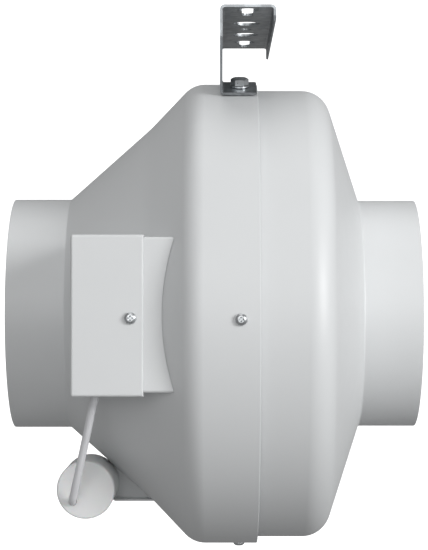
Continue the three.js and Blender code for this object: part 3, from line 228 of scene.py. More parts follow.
class DuctFanColours(bpy.types.PropertyGroup):
    """Colours of the finishes."""

    powder: colour("Powder coat", "Light grey polyester powder coat", "#dcdedf")
    plastic: colour("Plastic", "Capacitor case", "#f3f4f4")
    sheath: colour("Cable sheath", "PVC of the leads", "#f0f1f4")
    zinc: colour("Zinc plating", "Screws, bolts and nuts", "#d2d5d7")
    galvanised: colour("Galvanised steel", "Bracket, impeller and nozzle", "#a3a7aa")
    aluminium: colour("Cast aluminium", "Rotor cup and stator flange", "#a8abad")
    steel: colour("Bearing steel", "Rings, balls and shaft", "#c0c3c6")
    copper: colour("Copper wire", "Windings", "#a45a2a")
    rubber: colour("Rubber", "Grommets", "#1f2021")
    paper: colour("Floor", "Floor and backdrop", "#f4f4f4")


class DuctFanSettings(bpy.types.PropertyGroup):
    """All sizes and colours of the fan."""

    casing: bpy.props.PointerProperty(type=DuctFanCasing)
    bracket: bpy.props.PointerProperty(type=DuctFanBracket)
    box: bpy.props.PointerProperty(type=DuctFanBox)
    capacitor: bpy.props.PointerProperty(type=DuctFanCapacitor)
    fasteners: bpy.props.PointerProperty(type=DuctFanFasteners)
    motor: bpy.props.PointerProperty(type=DuctFanMotor)
    colours: bpy.props.PointerProperty(type=DuctFanColours)


def settings():
    return bpy.context.scene.duct_fan


# ---- Nodes ----


def node(tree, kind, inputs=None, **values):
    """Adds a node with its own values, and gives its inputs values or links from sockets."""
    made = tree.nodes.new(kind)
    for name, value in values.items():
        setattr(made, name, value)
    for key, value in (inputs or {}).items():
        if isinstance(value, bpy.types.NodeSocket):
            tree.links.new(value, made.inputs[key])
        else:
            made.inputs[key].default_value = value
    return made


def new_tree(name, inputs):
    """A Geometry Nodes tree with a geometry input and named inputs, and its group input node."""
    tree = bpy.data.node_groups.new(name, "GeometryNodeTree")
    tree.interface.new_socket("Geometry", in_out="INPUT", socket_type="NodeSocketGeometry")
    for label, kind in inputs.items():
        tree.interface.new_socket(label, in_out="INPUT", socket_type=kind)
    tree.interface.new_socket("Material", in_out="INPUT", socket_type="NodeSocketMaterial")
    tree.interface.new_socket("Geometry", in_out="OUTPUT", socket_type="NodeSocketGeometry")
    return tree, node(tree, "NodeGroupInput")


def close_tree(tree, start, geometry):
    """Ends a tree in real geometry with its material."""
    real = node(tree, "GeometryNodeRealizeInstances", {"Geometry": geometry})
    painted = node(
        tree,
        "GeometryNodeSetMaterial",
        {"Geometry": real.outputs["Geometry"], "Material": start.outputs["Material"]},
    )
    node(tree, "NodeGroupOutput", {"Geometry": painted.outputs["Geometry"]})
    return tree


def turning_tree():
    """Turns an outline, drawn as radius - 1 along X and minus the place along Y, round the X axis."""
    name = "turned_outline"
    if name in bpy.data.node_groups:
        return bpy.data.node_groups[name]
    tree, start = new_tree(name, {"Facets": "NodeSocketInt"})
    outline = node(tree, "GeometryNodeMeshToCurve", {"Mesh": start.outputs["Geometry"]})
    circle = node(
        tree, "GeometryNodeCurvePrimitiveCircle", {"Resolution": start.outputs["Facets"], "Radius": 1.0}
    )
    turned_mesh = node(
        tree,
        "GeometryNodeCurveToMesh",
        {"Curve": circle.outputs["Curve"], "Profile Curve": outline.outputs["Curve"]},
    )
    along_x = node(
        tree,
        "GeometryNodeTransform",
        {"Geometry": turned_mesh.outputs["Mesh"], "Rotation": (0, math.pi / 2, 0)},
    )
    closed = node(
        tree,
        "GeometryNodeMergeByDistance",
        {"Geometry": along_x.outputs["Geometry"], "Distance": MERGE},
    )
    return close_tree(tree, start, closed.outputs["Geometry"])


def cable_tree():
    """A round cable along a line of edges."""
    name = "round_cable"
    if name in bpy.data.node_groups:
        return bpy.data.node_groups[name]
    tree, start = new_tree(name, {"Radius": "NodeSocketFloat", "Facets": "NodeSocketInt"})
    path = node(tree, "GeometryNodeMeshToCurve", {"Mesh": start.outputs["Geometry"]})
    section = node(
        tree,
        "GeometryNodeCurvePrimitiveCircle",
        {"Resolution": start.outputs["Facets"], "Radius": start.outputs["Radius"]},
    )
    cable = node(
        tree,
        "GeometryNodeCurveToMesh",
        {"Curve": path.outputs["Curve"], "Profile Curve": section.outputs["Curve"], "Fill Caps": True},
    )
    closed = node(
        tree, "GeometryNodeMergeByDistance", {"Geometry": cable.outputs["Mesh"], "Distance": MERGE}
    )
    return close_tree(tree, start, closed.outputs["Geometry"])


def ring_tree():
    """Repeats a piece round the X axis, with angles counted from the top towards +Y."""
    name = "ring_of_pieces"
    if name in bpy.data.node_groups:
        return bpy.data.node_groups[name]
    inputs = {"Count": "NodeSocketInt", "First angle": "NodeSocketFloat", "Step": "NodeSocketFloat"}
    tree, start = new_tree(name, inputs)
    points = node(tree, "GeometryNodePoints", {"Count": start.outputs["Count"]})
    number = node(tree, "GeometryNodeInputIndex")
    turn = node(
        tree,
        "ShaderNodeMath",
        {0: number.outputs["Index"], 1: start.outputs["Step"], 2: start.outputs["First angle"]},
        operation="MULTIPLY_ADD",
    )
    back = node(tree, "ShaderNodeMath", {0: turn.outputs[0], 1: -1.0}, operation="MULTIPLY")
    euler = node(tree, "ShaderNodeCombineXYZ", {"X": back.outputs[0]})
    rotation = node(tree, "FunctionNodeEulerToRotation", {"Euler": euler.outputs["Vector"]})
    copies = node(
        tree,
        "GeometryNodeInstanceOnPoints",
        {
            "Points": points.outputs["Points"],
            "Instance": start.outputs["Geometry"],
            "Rotation": rotation.outputs["Rotation"],
        },
    )
    return close_tree(tree, start, copies.outputs["Instances"])


# ---- Meshes ----


def stood(mesh, name="working"):
    """A mesh as an object in the scene."""
    made = bpy.data.objects.new(name, mesh)
    bpy.context.scene.collection.objects.link(made)
    return made


def taken(made):
    """The mesh of an object with its modifiers worked in. The object is removed."""
    bpy.context.view_layer.update()
    graph = bpy.context.evaluated_depsgraph_get()
    mesh = bpy.data.meshes.new_from_object(made.evaluated_get(graph))
    made.modifiers.clear()
    bpy.data.objects.remove(made)
    return mesh


def grown(mesh, tree, values):
    """The mesh that a Geometry Nodes tree makes of a mesh, with named input values."""
    made = stood(mesh)
    modifier = made.modifiers.new("shape", "NODES")
    modifier.node_group = tree
    sockets = {item.name: item.identifier for item in tree.interface.items_tree if item.in_out == "INPUT"}
    for label, value in values.items():
        modifier[sockets[label]] = value
    return taken(made)


def mesh_of(points, edges=(), faces=()):
    mesh = bpy.data.meshes.new("working")
    mesh.from_pydata(points, edges, faces)
    return mesh


def tidied(mesh, name="working"):
    """Merges doubles and turns the faces outwards. The mesh has to be closed."""
    form = bmesh.new()
    form.from_mesh(mesh)
    bmesh.ops.remove_doubles(form, verts=form.verts, dist=MERGE)
    bmesh.ops.dissolve_degenerate(form, edges=form.edges, dist=MERGE)
    bmesh.ops.recalc_face_normals(form, faces=form.faces)
    open_edges = sum(not edge.is_manifold for edge in form.edges)
    form.to_mesh(mesh)
    form.free()
    if open_edges:
        raise RuntimeError(f"{name} is not closed: {open_edges} open edges")
    return mesh


def placed(mesh, *matrices):
    """A mesh moved by matrices, the first one last."""
    for matrix in reversed(matrices):
        mesh.transform(matrix)
    return mesh


def carved(mesh, *tools, operation="DIFFERENCE"):
    """A mesh cut by other meshes, or joined to them with operation UNION."""
    made = stood(mesh)
    others = [stood(tool) for tool in tools]
    for other in others:
        modifier = made.modifiers.new("carve", "BOOLEAN")
        modifier.operation = operation
        modifier.solver = "MANIFOLD" if operation == "DIFFERENCE" else "EXACT"
        modifier.use_self = operation == "UNION"  # joined parts share faces and edges
        modifier.object = other
    result = taken(made)
    for other in others:
        bpy.data.objects.remove(other)
    return tidied(result)


def softened(mesh, width, segments=2, limit=math.radians(35)):
    """A mesh with its sharp edges rounded a little."""
    made = stood(mesh)
    modifier = made.modifiers.new("edges", "BEVEL")
    modifier.width = width
    modifier.segments = segments
    modifier.limit_method = "ANGLE"
    modifier.angle_limit = limit
    return taken(made)


def piece(name, mesh, material, nodes, body="casing", sharp=math.radians(32)):
    """Shows a finished mesh as a piece of a body, in place of CAD nodes."""
    tidied(mesh, name)
    mesh.materials.clear()
    mesh.materials.append(material)
    mesh.shade_smooth()
    mesh.set_sharp_from_angle(angle=sharp)
    shaded = stood(mesh)
    modifier = shaded.modifiers.new("flat_faces", "WEIGHTED_NORMAL")
    modifier.keep_sharp = True
    mesh = taken(shaded)
    mesh.name = name
    made = stood(mesh, name)
    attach(made, body)
    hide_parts(*nodes)
    return made


# ---- Outlines ----


def rounded(corners):
    """A line of points through corners (x, r), or (x, r, fillet radius) for a rounded one."""
    line = []
    for i, corner in enumerate(corners):
        here = Vector(corner[:2])
        if len(corner) == 2 or not corner[2]:
            line.append(here)
            continue
        back = (Vector(corners[i - 1][:2]) - here).normalized()
        ahead = (Vector(corners[(i + 1) % len(corners)][:2]) - here).normalized()
        half = back.angle(ahead) / 2
        centre = here + (back + ahead).normalized() * (corner[2] / math.sin(half))
        arm = here + back * (corner[2] / math.tan(half)) - centre
        turn = math.copysign(math.pi - 2 * half, ahead.x * back.y - ahead.y * back.x)
        steps = max(2, math.ceil(abs(turn) / ARC_STEP))
        line += [centre + Matrix.Rotation(turn * k / steps, 2) @ arm for k in range(steps + 1)]
    return line


def shifted(line, distance):
    """A line moved to its left, mitred at each point."""
    ways = [(b - a).normalized() for a, b in zip(line, line[1:])]
    sides = [Vector((-way.y, way.x)) for way in ways]
    moved = []
    for i, point in enumerate(line):
        before = sides[max(i - 1, 0)]
        mitre = (before + sides[min(i, len(sides) - 1)]).normalized()
        moved.append(point + mitre * (distance / mitre.dot(before)))
    return moved


def sheet_outline(line, thickness):
    """The closed outline of a sheet on the right of a line, with round edges at its two ends."""
    radius = thickness / 2
    line = [point.copy() for point in line]
    line[0] += (line[1] - line[0]).normalized() * radius
    line[-1] += (line[-2] - line[-1]).normalized() * radius
    inner = shifted(line, -thickness)

    def round_end(first, last):
        centre = (first + last) / 2
        return [centre + Matrix.Rotation(-math.pi * k / 4, 2) @ (first - centre) for k in (1, 2, 3)]

    return line + round_end(line[-1], inner[-1]) + inner[::-1] + round_end(inner[0], line[0])


def turned(outline, facets=SMALL_FACETS, place=None):
    """A body turned round the X axis from an outline of (x, r) points."""
    points = [(r - 1, -x, 0) for x, r in outline]
    edges = [(i, i + 1) for i in range(len(points) - 1)]
    if outline[0][1] > 0 or outline[-1][1] > 0:
        edges.append((len(points) - 1, 0))
    mesh = grown(mesh_of(points, edges), turning_tree(), {"Facets": facets})
    return placed(tidied(mesh), place or Matrix.Identity(4))


def ring_of(mesh, count, first, step):
    """A piece made at the top of the axis, repeated round it."""
    values = {"Count": count, "First angle": first, "Step": step}
    return placed(grown(mesh, ring_tree(), values), ON_AXIS)


def extruded(outline, low, high, axes="xy"):
    """A closed outline of points drawn in two axes, carried along the third from low to high."""
    third = ({"x", "y", "z"} - set(axes)).pop()
    order = [("xyz").index(letter) for letter in (*axes, third)]

    def corner(u, v, w):
        spot = [0, 0, 0]
        for place, value in zip(order, (u, v, w)):
            spot[place] = value
        return spot

    count = len(outline)
    points = [corner(u, v, low) for u, v in outline] + [corner(u, v, high) for u, v in outline]
    faces = [tuple(range(count)), tuple(range(count, 2 * count))]
    faces += [(i, (i + 1) % count, count + (i + 1) % count, count + i) for i in range(count)]
    return tidied(mesh_of(points, (), faces))


def block(low, high):
    """A box between two corners."""
    outline = [(low[0], low[1]), (high[0], low[1]), (high[0], high[1]), (low[0], high[1])]
    return extruded(outline, low[2], high[2])


def upright(outline, facets=SMALL_FACETS):
    """A body turned round the Z axis from an outline of (z, r) points."""
    return placed(turned(outline, facets), Matrix.Rotation(-math.pi / 2, 4, "Y"))


def rod(radius, low, high, facets=SMALL_FACETS):
    """A cylinder along Z."""
    return upright([(low, 0), (low, radius), (high, radius), (high, 0)], facets)


def circle(centre, radius, start=0.0, turn=2 * math.pi, steps=40):
    """Points on an arc. A full turn leaves out its last point."""
    count = steps if abs(turn) >= 2 * math.pi - 1e-6 else steps + 1
    angles = [start + turn * k / steps for k in range(count)]
    return [Vector((centre[0] + radius * math.cos(a), centre[1] + radius * math.sin(a))) for a in angles]


# ---- Materials ----


def new_material(name, base, roughness, metallic=0.0, **constants):
    """A material with its constant values, its tree, its shader and its object coordinates."""
    made = bpy.data.materials.new(name)
    made.use_nodes = True
    tree = made.node_tree
    shader = tree.nodes["Principled BSDF"]
    values = {"Base Color": base, "Roughness": roughness, "Metallic": metallic, **constants}
    for key, value in values.items():
        shader.inputs[key].default_value = value
    return made, tree, shader, node(tree, "ShaderNodeTexCoord").outputs["Object"]


def tinted(base, share):
    """A colour made lighter by a share above 1, or darker by one below 1."""
    return [min(1.0, value * share) for value in base[:3]] + [1.0]


def blended(tree, factor, first, second):
    """A colour between two, by a factor from 0 to 1."""
    mix = node(tree, "ShaderNodeMix", {0: factor, 6: first, 7: second}, data_type="RGBA")
    return mix.outputs[2]


def rough(tree, shader, factor, low, high):
    """Roughness between two values, by a factor from 0.3 to 0.7, where noise mostly lies."""
    spread = node(
        tree,
        "ShaderNodeMapRange",
        {"Value": factor, "From Min": 0.3, "From Max": 0.7, "To Min": low, "To Max": high},
    )
    tree.links.new(spread.outputs["Result"], shader.inputs["Roughness"])


def relief(tree, shader, height, depth, strength):
    """Bumps of a real depth."""
    bump = node(tree, "ShaderNodeBump", {"Height": height, "Distance": depth, "Strength": strength})
    tree.links.new(bump.outputs["Normal"], shader.inputs["Normal"])


def powder_coat():
    """Polyester powder coat on sheet steel."""
    # Sprayed as powder and baked: an even satin skin with a faint orange peel of 1 to 2 mm waves,
    # so soft wide highlights with the slightest unevenness, and no grain of the metal below.
    name = "powder_coated_steel"
    if name in bpy.data.materials:
        return bpy.data.materials[name]
    base = list(settings().colours.powder)
    made, tree, shader, place = new_material(name, base, 0.42, IOR=1.5)
    cloud = node(tree, "ShaderNodeTexNoise", {"Vector": place, "Scale": 1 / (60 * MM), "Detail": 3.0})
    tone = blended(tree, cloud.outputs["Fac"], tinted(base, 0.985), tinted(base, 1.015))
    tree.links.new(tone, shader.inputs["Base Color"])
    film = node(tree, "ShaderNodeTexNoise", {"Vector": place, "Scale": 1 / (9 * MM), "Detail": 2.0})
    rough(tree, shader, film.outputs["Fac"], 0.38, 0.46)
    peel = node(tree, "ShaderNodeTexNoise", {"Vector": place, "Scale": 1 / (1.8 * MM), "Detail": 1.0})
    relief(tree, shader, peel.outputs["Fac"], 0.03 * MM, 0.5)
    return made


def galvanised_steel():
    """Hot-dip galvanised sheet steel."""
    # Zinc freezes on the sheet in flat crystals a few millimetres wide: patches of slightly
    # different grey and gloss with soft borders, over a dull metallic ground.
    name = "galvanised_steel"
    if name in bpy.data.materials:
        return bpy.data.materials[name]
    base = list(settings().colours.galvanised)
    made, tree, shader, place = new_material(name, base, 0.42, 1.0)
    bend = node(tree, "ShaderNodeTexNoise", {"Vector": place, "Scale": 1 / (6 * MM), "Detail": 2.0})
    uneven = node(
        tree,
        "ShaderNodeMix",
        {0: 0.004, 4: place, 5: bend.outputs["Color"]},
        data_type="VECTOR",
    )
    crystal = node(tree, "ShaderNodeTexVoronoi", {"Vector": uneven.outputs[1], "Scale": 1 / (5 * MM)})
    flake = node(tree, "ShaderNodeSeparateColor", {"Color": crystal.outputs["Color"]})
    tone = blended(tree, flake.outputs["Red"], tinted(base, 0.86), tinted(base, 1.12))
    tree.links.new(tone, shader.inputs["Base Color"])
    rough(tree, shader, flake.outputs["Green"], 0.34, 0.46)
    grit = node(tree, "ShaderNodeTexNoise", {"Vector": place, "Scale": 1 / (0.7 * MM), "Detail": 2.0})
    relief(tree, shader, grit.outputs["Fac"], 0.02 * MM, 0.4)
    return made


def zinc_plated_steel():
    """Zinc-plated and clear-passivated steel."""
    # Plated on smooth formed steel: bright, slightly bluish, with small dull patches.
    name = "zinc_plated_steel"
    if name in bpy.data.materials:
        return bpy.data.materials[name]
    base = list(settings().colours.zinc)
    made, tree, shader, place = new_material(name, base, 0.32, 1.0)
    patch = node(tree, "ShaderNodeTexNoise", {"Vector": place, "Scale": 1 / (1.5 * MM), "Detail": 3.0})
    tone = blended(tree, patch.outputs["Fac"], tinted(base, 0.85), tinted(base, 1.1))
    tree.links.new(tone, shader.inputs["Base Color"])
    rough(tree, shader, patch.outputs["Fac"], 0.26, 0.4)
    relief(tree, shader, patch.outputs["Fac"], 0.02 * MM, 0.3)
    return made


def capacitor_plastic():
    """Polypropylene case of the capacitor."""
    # Injection moulded in a fine spark-eroded mould: nearly white, slightly waxy, an even matt.
    name = "moulded_polypropylene"
    if name in bpy.data.materials:
        return bpy.data.materials[name]
    base = list(settings().colours.plastic)
    constants = {"Subsurface Weight": 0.08, "Subsurface Scale": 1.5 * MM, "IOR": 1.49}
    made, tree, shader, place = new_material(name, base, 0.45, **constants)
    cloud = node(tree, "ShaderNodeTexNoise", {"Vector": place, "Scale": 1 / (14 * MM), "Detail": 2.0})
    tone = blended(tree, cloud.outputs["Fac"], tinted(base, 0.98), tinted(base, 1.02))
    tree.links.new(tone, shader.inputs["Base Color"])
    rough(tree, shader, cloud.outputs["Fac"], 0.4, 0.5)
    spark = node(tree, "ShaderNodeTexNoise", {"Vector": place, "Scale": 1 / (0.6 * MM), "Detail": 2.0})
    relief(tree, shader, spark.outputs["Fac"], 0.02 * MM, 0.4)
    return made


def cable_sheath():
    """Extruded PVC sheath of the cables."""
    # Extruded soft PVC: smooth and satin, with a slow unevenness along it.
    name = "extruded_pvc"
    if name in bpy.data.materials:
        return bpy.data.materials[name]
    base = list(settings().colours.sheath)
    made, tree, shader, place = new_material(name, base, 0.4, IOR=1.53)
    slow = node(tree, "ShaderNodeTexNoise", {"Vector": place, "Scale": 1 / (8 * MM), "Detail": 2.0})
    tone = blended(tree, slow.outputs["Fac"], tinted(base, 0.97), tinted(base, 1.02))
    tree.links.new(tone, shader.inputs["Base Color"])
    rough(tree, shader, slow.outputs["Fac"], 0.36, 0.46)
    relief(tree, shader, slow.outputs["Fac"], 0.05 * MM, 0.4)
    return made


def grommet_rubber():
    """Moulded EPDM rubber."""
    # Pressed in a mould and dusted with talc: black, matt, with a slightly greyer bloom in places.
    name = "epdm_rubber"
    if name in bpy.data.materials:
        return bpy.data.materials[name]
    base = list(settings().colours.rubber)
    made, tree, shader, place = new_material(name, base, 0.7, IOR=1.52)
    bloom = node(tree, "ShaderNodeTexNoise", {"Vector": place, "Scale": 1 / (3 * MM), "Detail": 4.0})
    tone = blended(tree, bloom.outputs["Fac"], tinted(base, 0.8), tinted(base, 1.6))
    tree.links.new(tone, shader.inputs["Base Color"])
    rough(tree, shader, bloom.outputs["Fac"], 0.6, 0.8)
    relief(tree, shader, bloom.outputs["Fac"], 0.03 * MM, 0.5)
    return made


def cast_aluminium():
    """Pressure die-cast aluminium."""
    # The die gives a fine pebbled skin with soft flow marks: light grey, dull, metallic.
    name = "die_cast_aluminium"
    if name in bpy.data.materials:
        return bpy.data.materials[name]
    base = list(settings().colours.aluminium)
    made, tree, shader, place = new_material(name, base, 0.5, 1.0)
    flow = node(tree, "ShaderNodeTexNoise", {"Vector": place, "Scale": 1 / (12 * MM), "Detail": 4.0})
    tone = blended(tree, flow.outputs["Fac"], tinted(base, 0.88), tinted(base, 1.1))
    tree.links.new(tone, shader.inputs["Base Color"])
    rough(tree, shader, flow.outputs["Fac"], 0.42, 0.58)
    skin = node(tree, "ShaderNodeTexNoise", {"Vector": place, "Scale": 1 / (0.8 * MM), "Detail": 2.0})
    relief(tree, shader, skin.outputs["Fac"], 0.04 * MM, 0.5)
    return made


def ground_steel():
    """Hardened and ground bearing steel."""
    # Ground while turning, so its fine lines run round the axis; the brightest metal of the fan.
    name = "ground_bearing_steel"
    if name in bpy.data.materials:
        return bpy.data.materials[name]
    base = list(settings().colours.steel)
    made, tree, shader, place = new_material(name, base, 0.15, 1.0)
    centred = node(tree, "ShaderNodeMapping", {"Vector": place, "Location": (0, 0, -AXIS_Z)})
    lines = node(
        tree,
        "ShaderNodeTexWave",
        {"Vector": centred.outputs["Vector"], "Scale": 1 / (0.4 * MM * 20), "Distortion": 1.5},
        wave_type="BANDS",
        bands_direction="X",
    )
    rough(tree, shader, lines.outputs["Fac"], 0.12, 0.24)
    tone = blended(tree, lines.outputs["Fac"], tinted(base, 0.94), tinted(base, 1.03))
    tree.links.new(tone, shader.inputs["Base Color"])
    return made


def laminated_steel():
    """Stacked electrical steel sheets."""
    # 0.5 mm sheets stacked along the axis: dark edges with thin lines between them, drawn 1 mm
    # apart so that they show.
    name = "laminated_electrical_steel"
    if name in bpy.data.materials:
        return bpy.data.materials[name]
    base = linear("#5c5f63")
    made, tree, shader, place = new_material(name, base, 0.5, 1.0)
    stack = node(
        tree,
        "ShaderNodeTexWave",
        {"Vector": place, "Scale": 1 / (1 * MM * 20), "Distortion": 0.0},
        wave_type="BANDS",
        bands_direction="X",
    )
    tone = blended(tree, stack.outputs["Fac"], tinted(base, 0.6), tinted(base, 1.2))
    tree.links.new(tone, shader.inputs["Base Color"])
    relief(tree, shader, stack.outputs["Fac"], 0.1 * MM, 0.5)
    rough(tree, shader, stack.outputs["Fac"], 0.45, 0.6)
    return made


def enamelled_copper():
    """Enamelled winding wire under dipping varnish."""
    # 0.5 mm wires laid side by side, drawn 1 mm apart so that they show, under a glossy amber skin. The
    # colour is lighter on each wire's crest and darker in the gaps between wires, which is painted shade laid
    # over the real wire pattern.
    name = "enamelled_copper_wire"
    if name in bpy.data.materials:
        return bpy.data.materials[name]
    base = list(settings().colours.copper)
    constants = {"Coat Weight": 0.6, "Coat Roughness": 0.15, "Coat IOR": 1.5}
    made, tree, shader, place = new_material(name, base, 0.35, 1.0, **constants)
    centred = node(tree, "ShaderNodeMapping", {"Vector": place, "Location": (0, 0, -AXIS_Z)})
    wire_ridges_and_gap_shade = node(
        tree,
        "ShaderNodeTexWave",
        {"Vector": centred.outputs["Vector"], "Scale": 1 / (1 * MM * 20), "Distortion": 2.0, "Detail": 1.0},
        wave_type="RINGS",
        rings_direction="X",
    )
    # painted shade: the copper colour darkens to 0.45 in the gaps between the wires and lightens on their
    # crests
    tone = blended(tree, wire_ridges_and_gap_shade.outputs["Fac"], tinted(base, 0.45), tinted(base, 1.15))
    tree.links.new(tone, shader.inputs["Base Color"])
    relief(tree, shader, wire_ridges_and_gap_shade.outputs["Fac"], 0.3 * MM, 0.8)
    return made


def terminal_polyamide():
    """Moulded polyamide of the terminal block."""
    # Glass-filled and natural coloured: an ivory white with a dry, slightly rough skin.
    name = "moulded_polyamide"
    if name in bpy.data.materials:
        return bpy.data.materials[name]
    base = linear("#dcdad2")
    made, tree, shader, place = new_material(name, base, 0.5, IOR=1.53)
    fibre = node(tree, "ShaderNodeTexNoise", {"Vector": place, "Scale": 1 / (0.8 * MM), "Detail": 4.0})
    tone = blended(tree, fibre.outputs["Fac"], tinted(base, 0.93), tinted(base, 1.03))
    tree.links.new(tone, shader.inputs["Base Color"])
    rough(tree, shader, fibre.outputs["Fac"], 0.45, 0.6)
    relief(tree, shader, fibre.outputs["Fac"], 0.03 * MM, 0.4)
    return made


def backdrop_paper():
    """Seamless white studio paper."""
    # Uncoated paper: matt white with a faint fibre. It glows a little, as paper lit from behind.
    name = "studio_paper"
    base = list(settings().colours.paper)
    made, tree, shader, place = new_material(name, base, 0.9)
    fibre = node(tree, "ShaderNodeTexNoise", {"Vector": place, "Scale": 1 / (8 * MM), "Detail": 3.0})
    tone = blended(tree, fibre.outputs["Fac"], tinted(base, 0.99), tinted(base, 1.01))
    tree.links.new(tone, shader.inputs["Base Color"])
    shader.inputs["Emission Color"].default_value = (1, 1, 1, 1)
    shader.inputs["Emission Strength"].default_value = PAPER_GLOW
    return made


# ---- Stage ----

CAMERA_BACK = 1.339  # from the axis
CAMERA_RISE = 10 * MM  # over the axis
CAMERA_SIDE = -24.3 * MM  # from the casing joint
CAMERA_TILT = math.radians(0.649)
CAMERA_PAN = math.radians(0.155)
CAMERA_LENS = 132.8
FLOOR_DROP = 0.6  # floor below the fan
FLOOR_HALF = 6.0
BACKDROP_BACK = 5.0
BACKDROP_RADIUS = 2.0
BACKDROP_HEIGHT = 5.0
PAPER_GLOW = 1.1
SKY = 0.23
LIGHTS = [
    # name, place, size, watts
    ("key_light", (1.9, -1.6, 0.3), 1.2, 42),
    ("front_light", (-0.4, -2.6, 0.3), 1.6, 15),
    ("high_light", (0.0, -2.0, 1.4), 1.4, 4),
    ("top_light", (-0.1, 0.0, 1.6), 1.6, 7),
]


def add_camera():
    data = bpy.data.cameras.new("camera")
    data.sensor_width = 36
    data.lens = CAMERA_LENS
    camera = bpy.data.objects.new("camera", data)
    camera.location = (CAMERA_SIDE, -CAMERA_BACK, AXIS_Z + CAMERA_RISE)
    camera.rotation_euler = (math.pi / 2 + CAMERA_TILT, 0, CAMERA_PAN)
    bpy.context.scene.collection.objects.link(camera)
    bpy.context.scene.camera = camera


def add_lights():
    target = Vector((0, 0, AXIS_Z))
    for name, place, size, watts in LIGHTS:
        data = bpy.data.lights.new(name, "AREA")
        data.shape = "DISK"
        data.size = size
        data.energy = watts
        light = bpy.data.objects.new(name, data)
        light.location = place
        light.rotation_mode = "QUATERNION"
        light.rotation_quaternion = (target - Vector(place)).to_track_quat("-Z", "Y")
        light.visible_camera = False
        bpy.context.scene.collection.objects.link(light)
    world = bpy.data.worlds.new("studio")
    world.use_nodes = True
    world.node_tree.nodes["Background"].inputs["Strength"].default_value = SKY
    world.node_tree.nodes["Background"].inputs["Color"].default_value = (1, 1, 1, 1)
    bpy.context.scene.world = world


def add_backdrop():
    floor_z = OUTLET_LOW.z - FLOOR_DROP
    curve = rounded(
        [
            (-FLOOR_HALF, floor_z),
            (BACKDROP_BACK, floor_z, BACKDROP_RADIUS),
            (BACKDROP_BACK, floor_z + BACKDROP_HEIGHT),
        ]
    )
    points = [(x, p.x, p.y) for x in (-FLOOR_HALF, FLOOR_HALF) for p in curve]
    count = len(curve)
    faces = [(i, count + i, count + i + 1, i + 1) for i in range(count - 1)]
    mesh = mesh_of(points, (), faces)
    mesh.shade_smooth()
    mesh.materials.append(backdrop_paper())
    floor = stood(mesh, "floor")
    floor.visible_diffuse = False
    floor.visible_glossy = False
    floor.visible_shadow = False


class DUCTFAN_OT_stage(bpy.types.Operator):
    """Add the camera, the lights and the pale floor"""

    bl_idname = "duct_fan.stage"
    bl_label = "Stage"

    def execute(self, context):
        context.scene.view_settings.view_transform = "Standard"
        add_camera()
        add_lights()
        add_backdrop()
        return {"FINISHED"}


# ---- Casing ----


def outlet_line():
    """The outside of the outlet shell, from its rim to its free edge."""
    sizes = settings().casing
    root_x = OUTLET_LOW.x + sizes.outlet_spigot_length
    rise = sizes.kink_radius - sizes.outlet_spigot_radius
    return rounded(
        [
            (OUTLET_LOW.x, sizes.outlet_spigot_radius),
            (root_x, sizes.outlet_spigot_radius, sizes.spigot_fillet),
            (root_x + rise / math.tan(sizes.outlet_cone_angle), sizes.kink_radius, sizes.kink_fillet),
            (OUTLET_HIGH.x - sizes.outlet_band_length, BAND_RADIUS, sizes.outlet_fillet),
            (OUTLET_HIGH.x, BAND_RADIUS),
        ]
    )


def inlet_line():
    """The outside of the inlet shell, from its lapped rim to its spigot's rim."""
    sizes = settings().casing
    rim_radius = BAND_RADIUS - sizes.sheet - GAP
    band_radius = rim_radius - sizes.joggle
    root_x = INLET_HIGH.x - sizes.inlet_spigot_length
    return rounded(
        [
            (INLET_LOW.x, rim_radius),
            (OUTLET_HIGH.x - sizes.joggle, rim_radius, sizes.joggle / 2),
            (OUTLET_HIGH.x, band_radius, sizes.joggle / 2),
            (sizes.inlet_band_length, band_radius, sizes.inlet_fillet),
            (root_x, sizes.inlet_spigot_radius, sizes.spigot_fillet),
            (INLET_HIGH.x, sizes.inlet_spigot_radius),
        ]
    )


def nozzle_line():
    sizes = settings().casing
    low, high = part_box("inlet_nozzle")
    collar_radius = sizes.inlet_spigot_radius - sizes.sheet - GAP
    return rounded(
        [
            (low.x, sizes.nozzle_throat_radius),
            (low.x + sizes.nozzle_throat_length, sizes.nozzle_throat_radius, sizes.nozzle_fillet),
            (high.x - sizes.nozzle_collar_length, collar_radius, sizes.nozzle_fillet),
            (high.x, collar_radius),
        ]
    )


class DUCTFAN_OT_casing(bpy.types.Operator):
    """Turn the two casing shells and the inlet nozzle from their outlines"""

    bl_idname = "duct_fan.casing"
    bl_label = "Casing"

    def execute(self, context):
        sizes = settings().casing
        outlet = turned(sheet_outline(outlet_line(), sizes.sheet), CASING_FACETS, ON_AXIS)
        piece("outlet_casing", outlet, powder_coat(), ["outlet_shell"])
        inlet = turned(sheet_outline(inlet_line(), sizes.sheet), CASING_FACETS, ON_AXIS)
        piece("inlet_casing", inlet, powder_coat(), ["inlet_shell"])
        nozzle = turned(sheet_outline(nozzle_line(), sizes.nozzle_sheet), CASING_FACETS, ON_AXIS)
        piece("nozzle_ring", nozzle, galvanised_steel(), ["inlet_nozzle"])
        return {"FINISHED"}


# ---- Cable ----

# The lead's route: from under the terminal block, out of the box's floor and into the capacitor.
LEAD_ROUTE = [
    (-0.10350, -0.11230, -0.19890),
    (-0.10350, -0.11230, -0.20710),
    (-0.10110, -0.10930, -0.22555),
    (-0.10010, -0.10830, -0.23155),
    (-0.10010, -0.10830, -0.23955),
    (-0.10160, -0.10350, -0.24510),
    (-0.10460, -0.09650, -0.25810),
    (-0.10820, -0.08800, -0.27310),
    (-0.11180, -0.08000, -0.28810),
    (-0.11460, -0.07300, -0.29890),
    (-0.11630, -0.06720, -0.30540),
    (-0.11678, -0.06250, -0.30718),
    (-0.11678, -0.05700, -0.30718),
]
LEAD_STEPS = 6


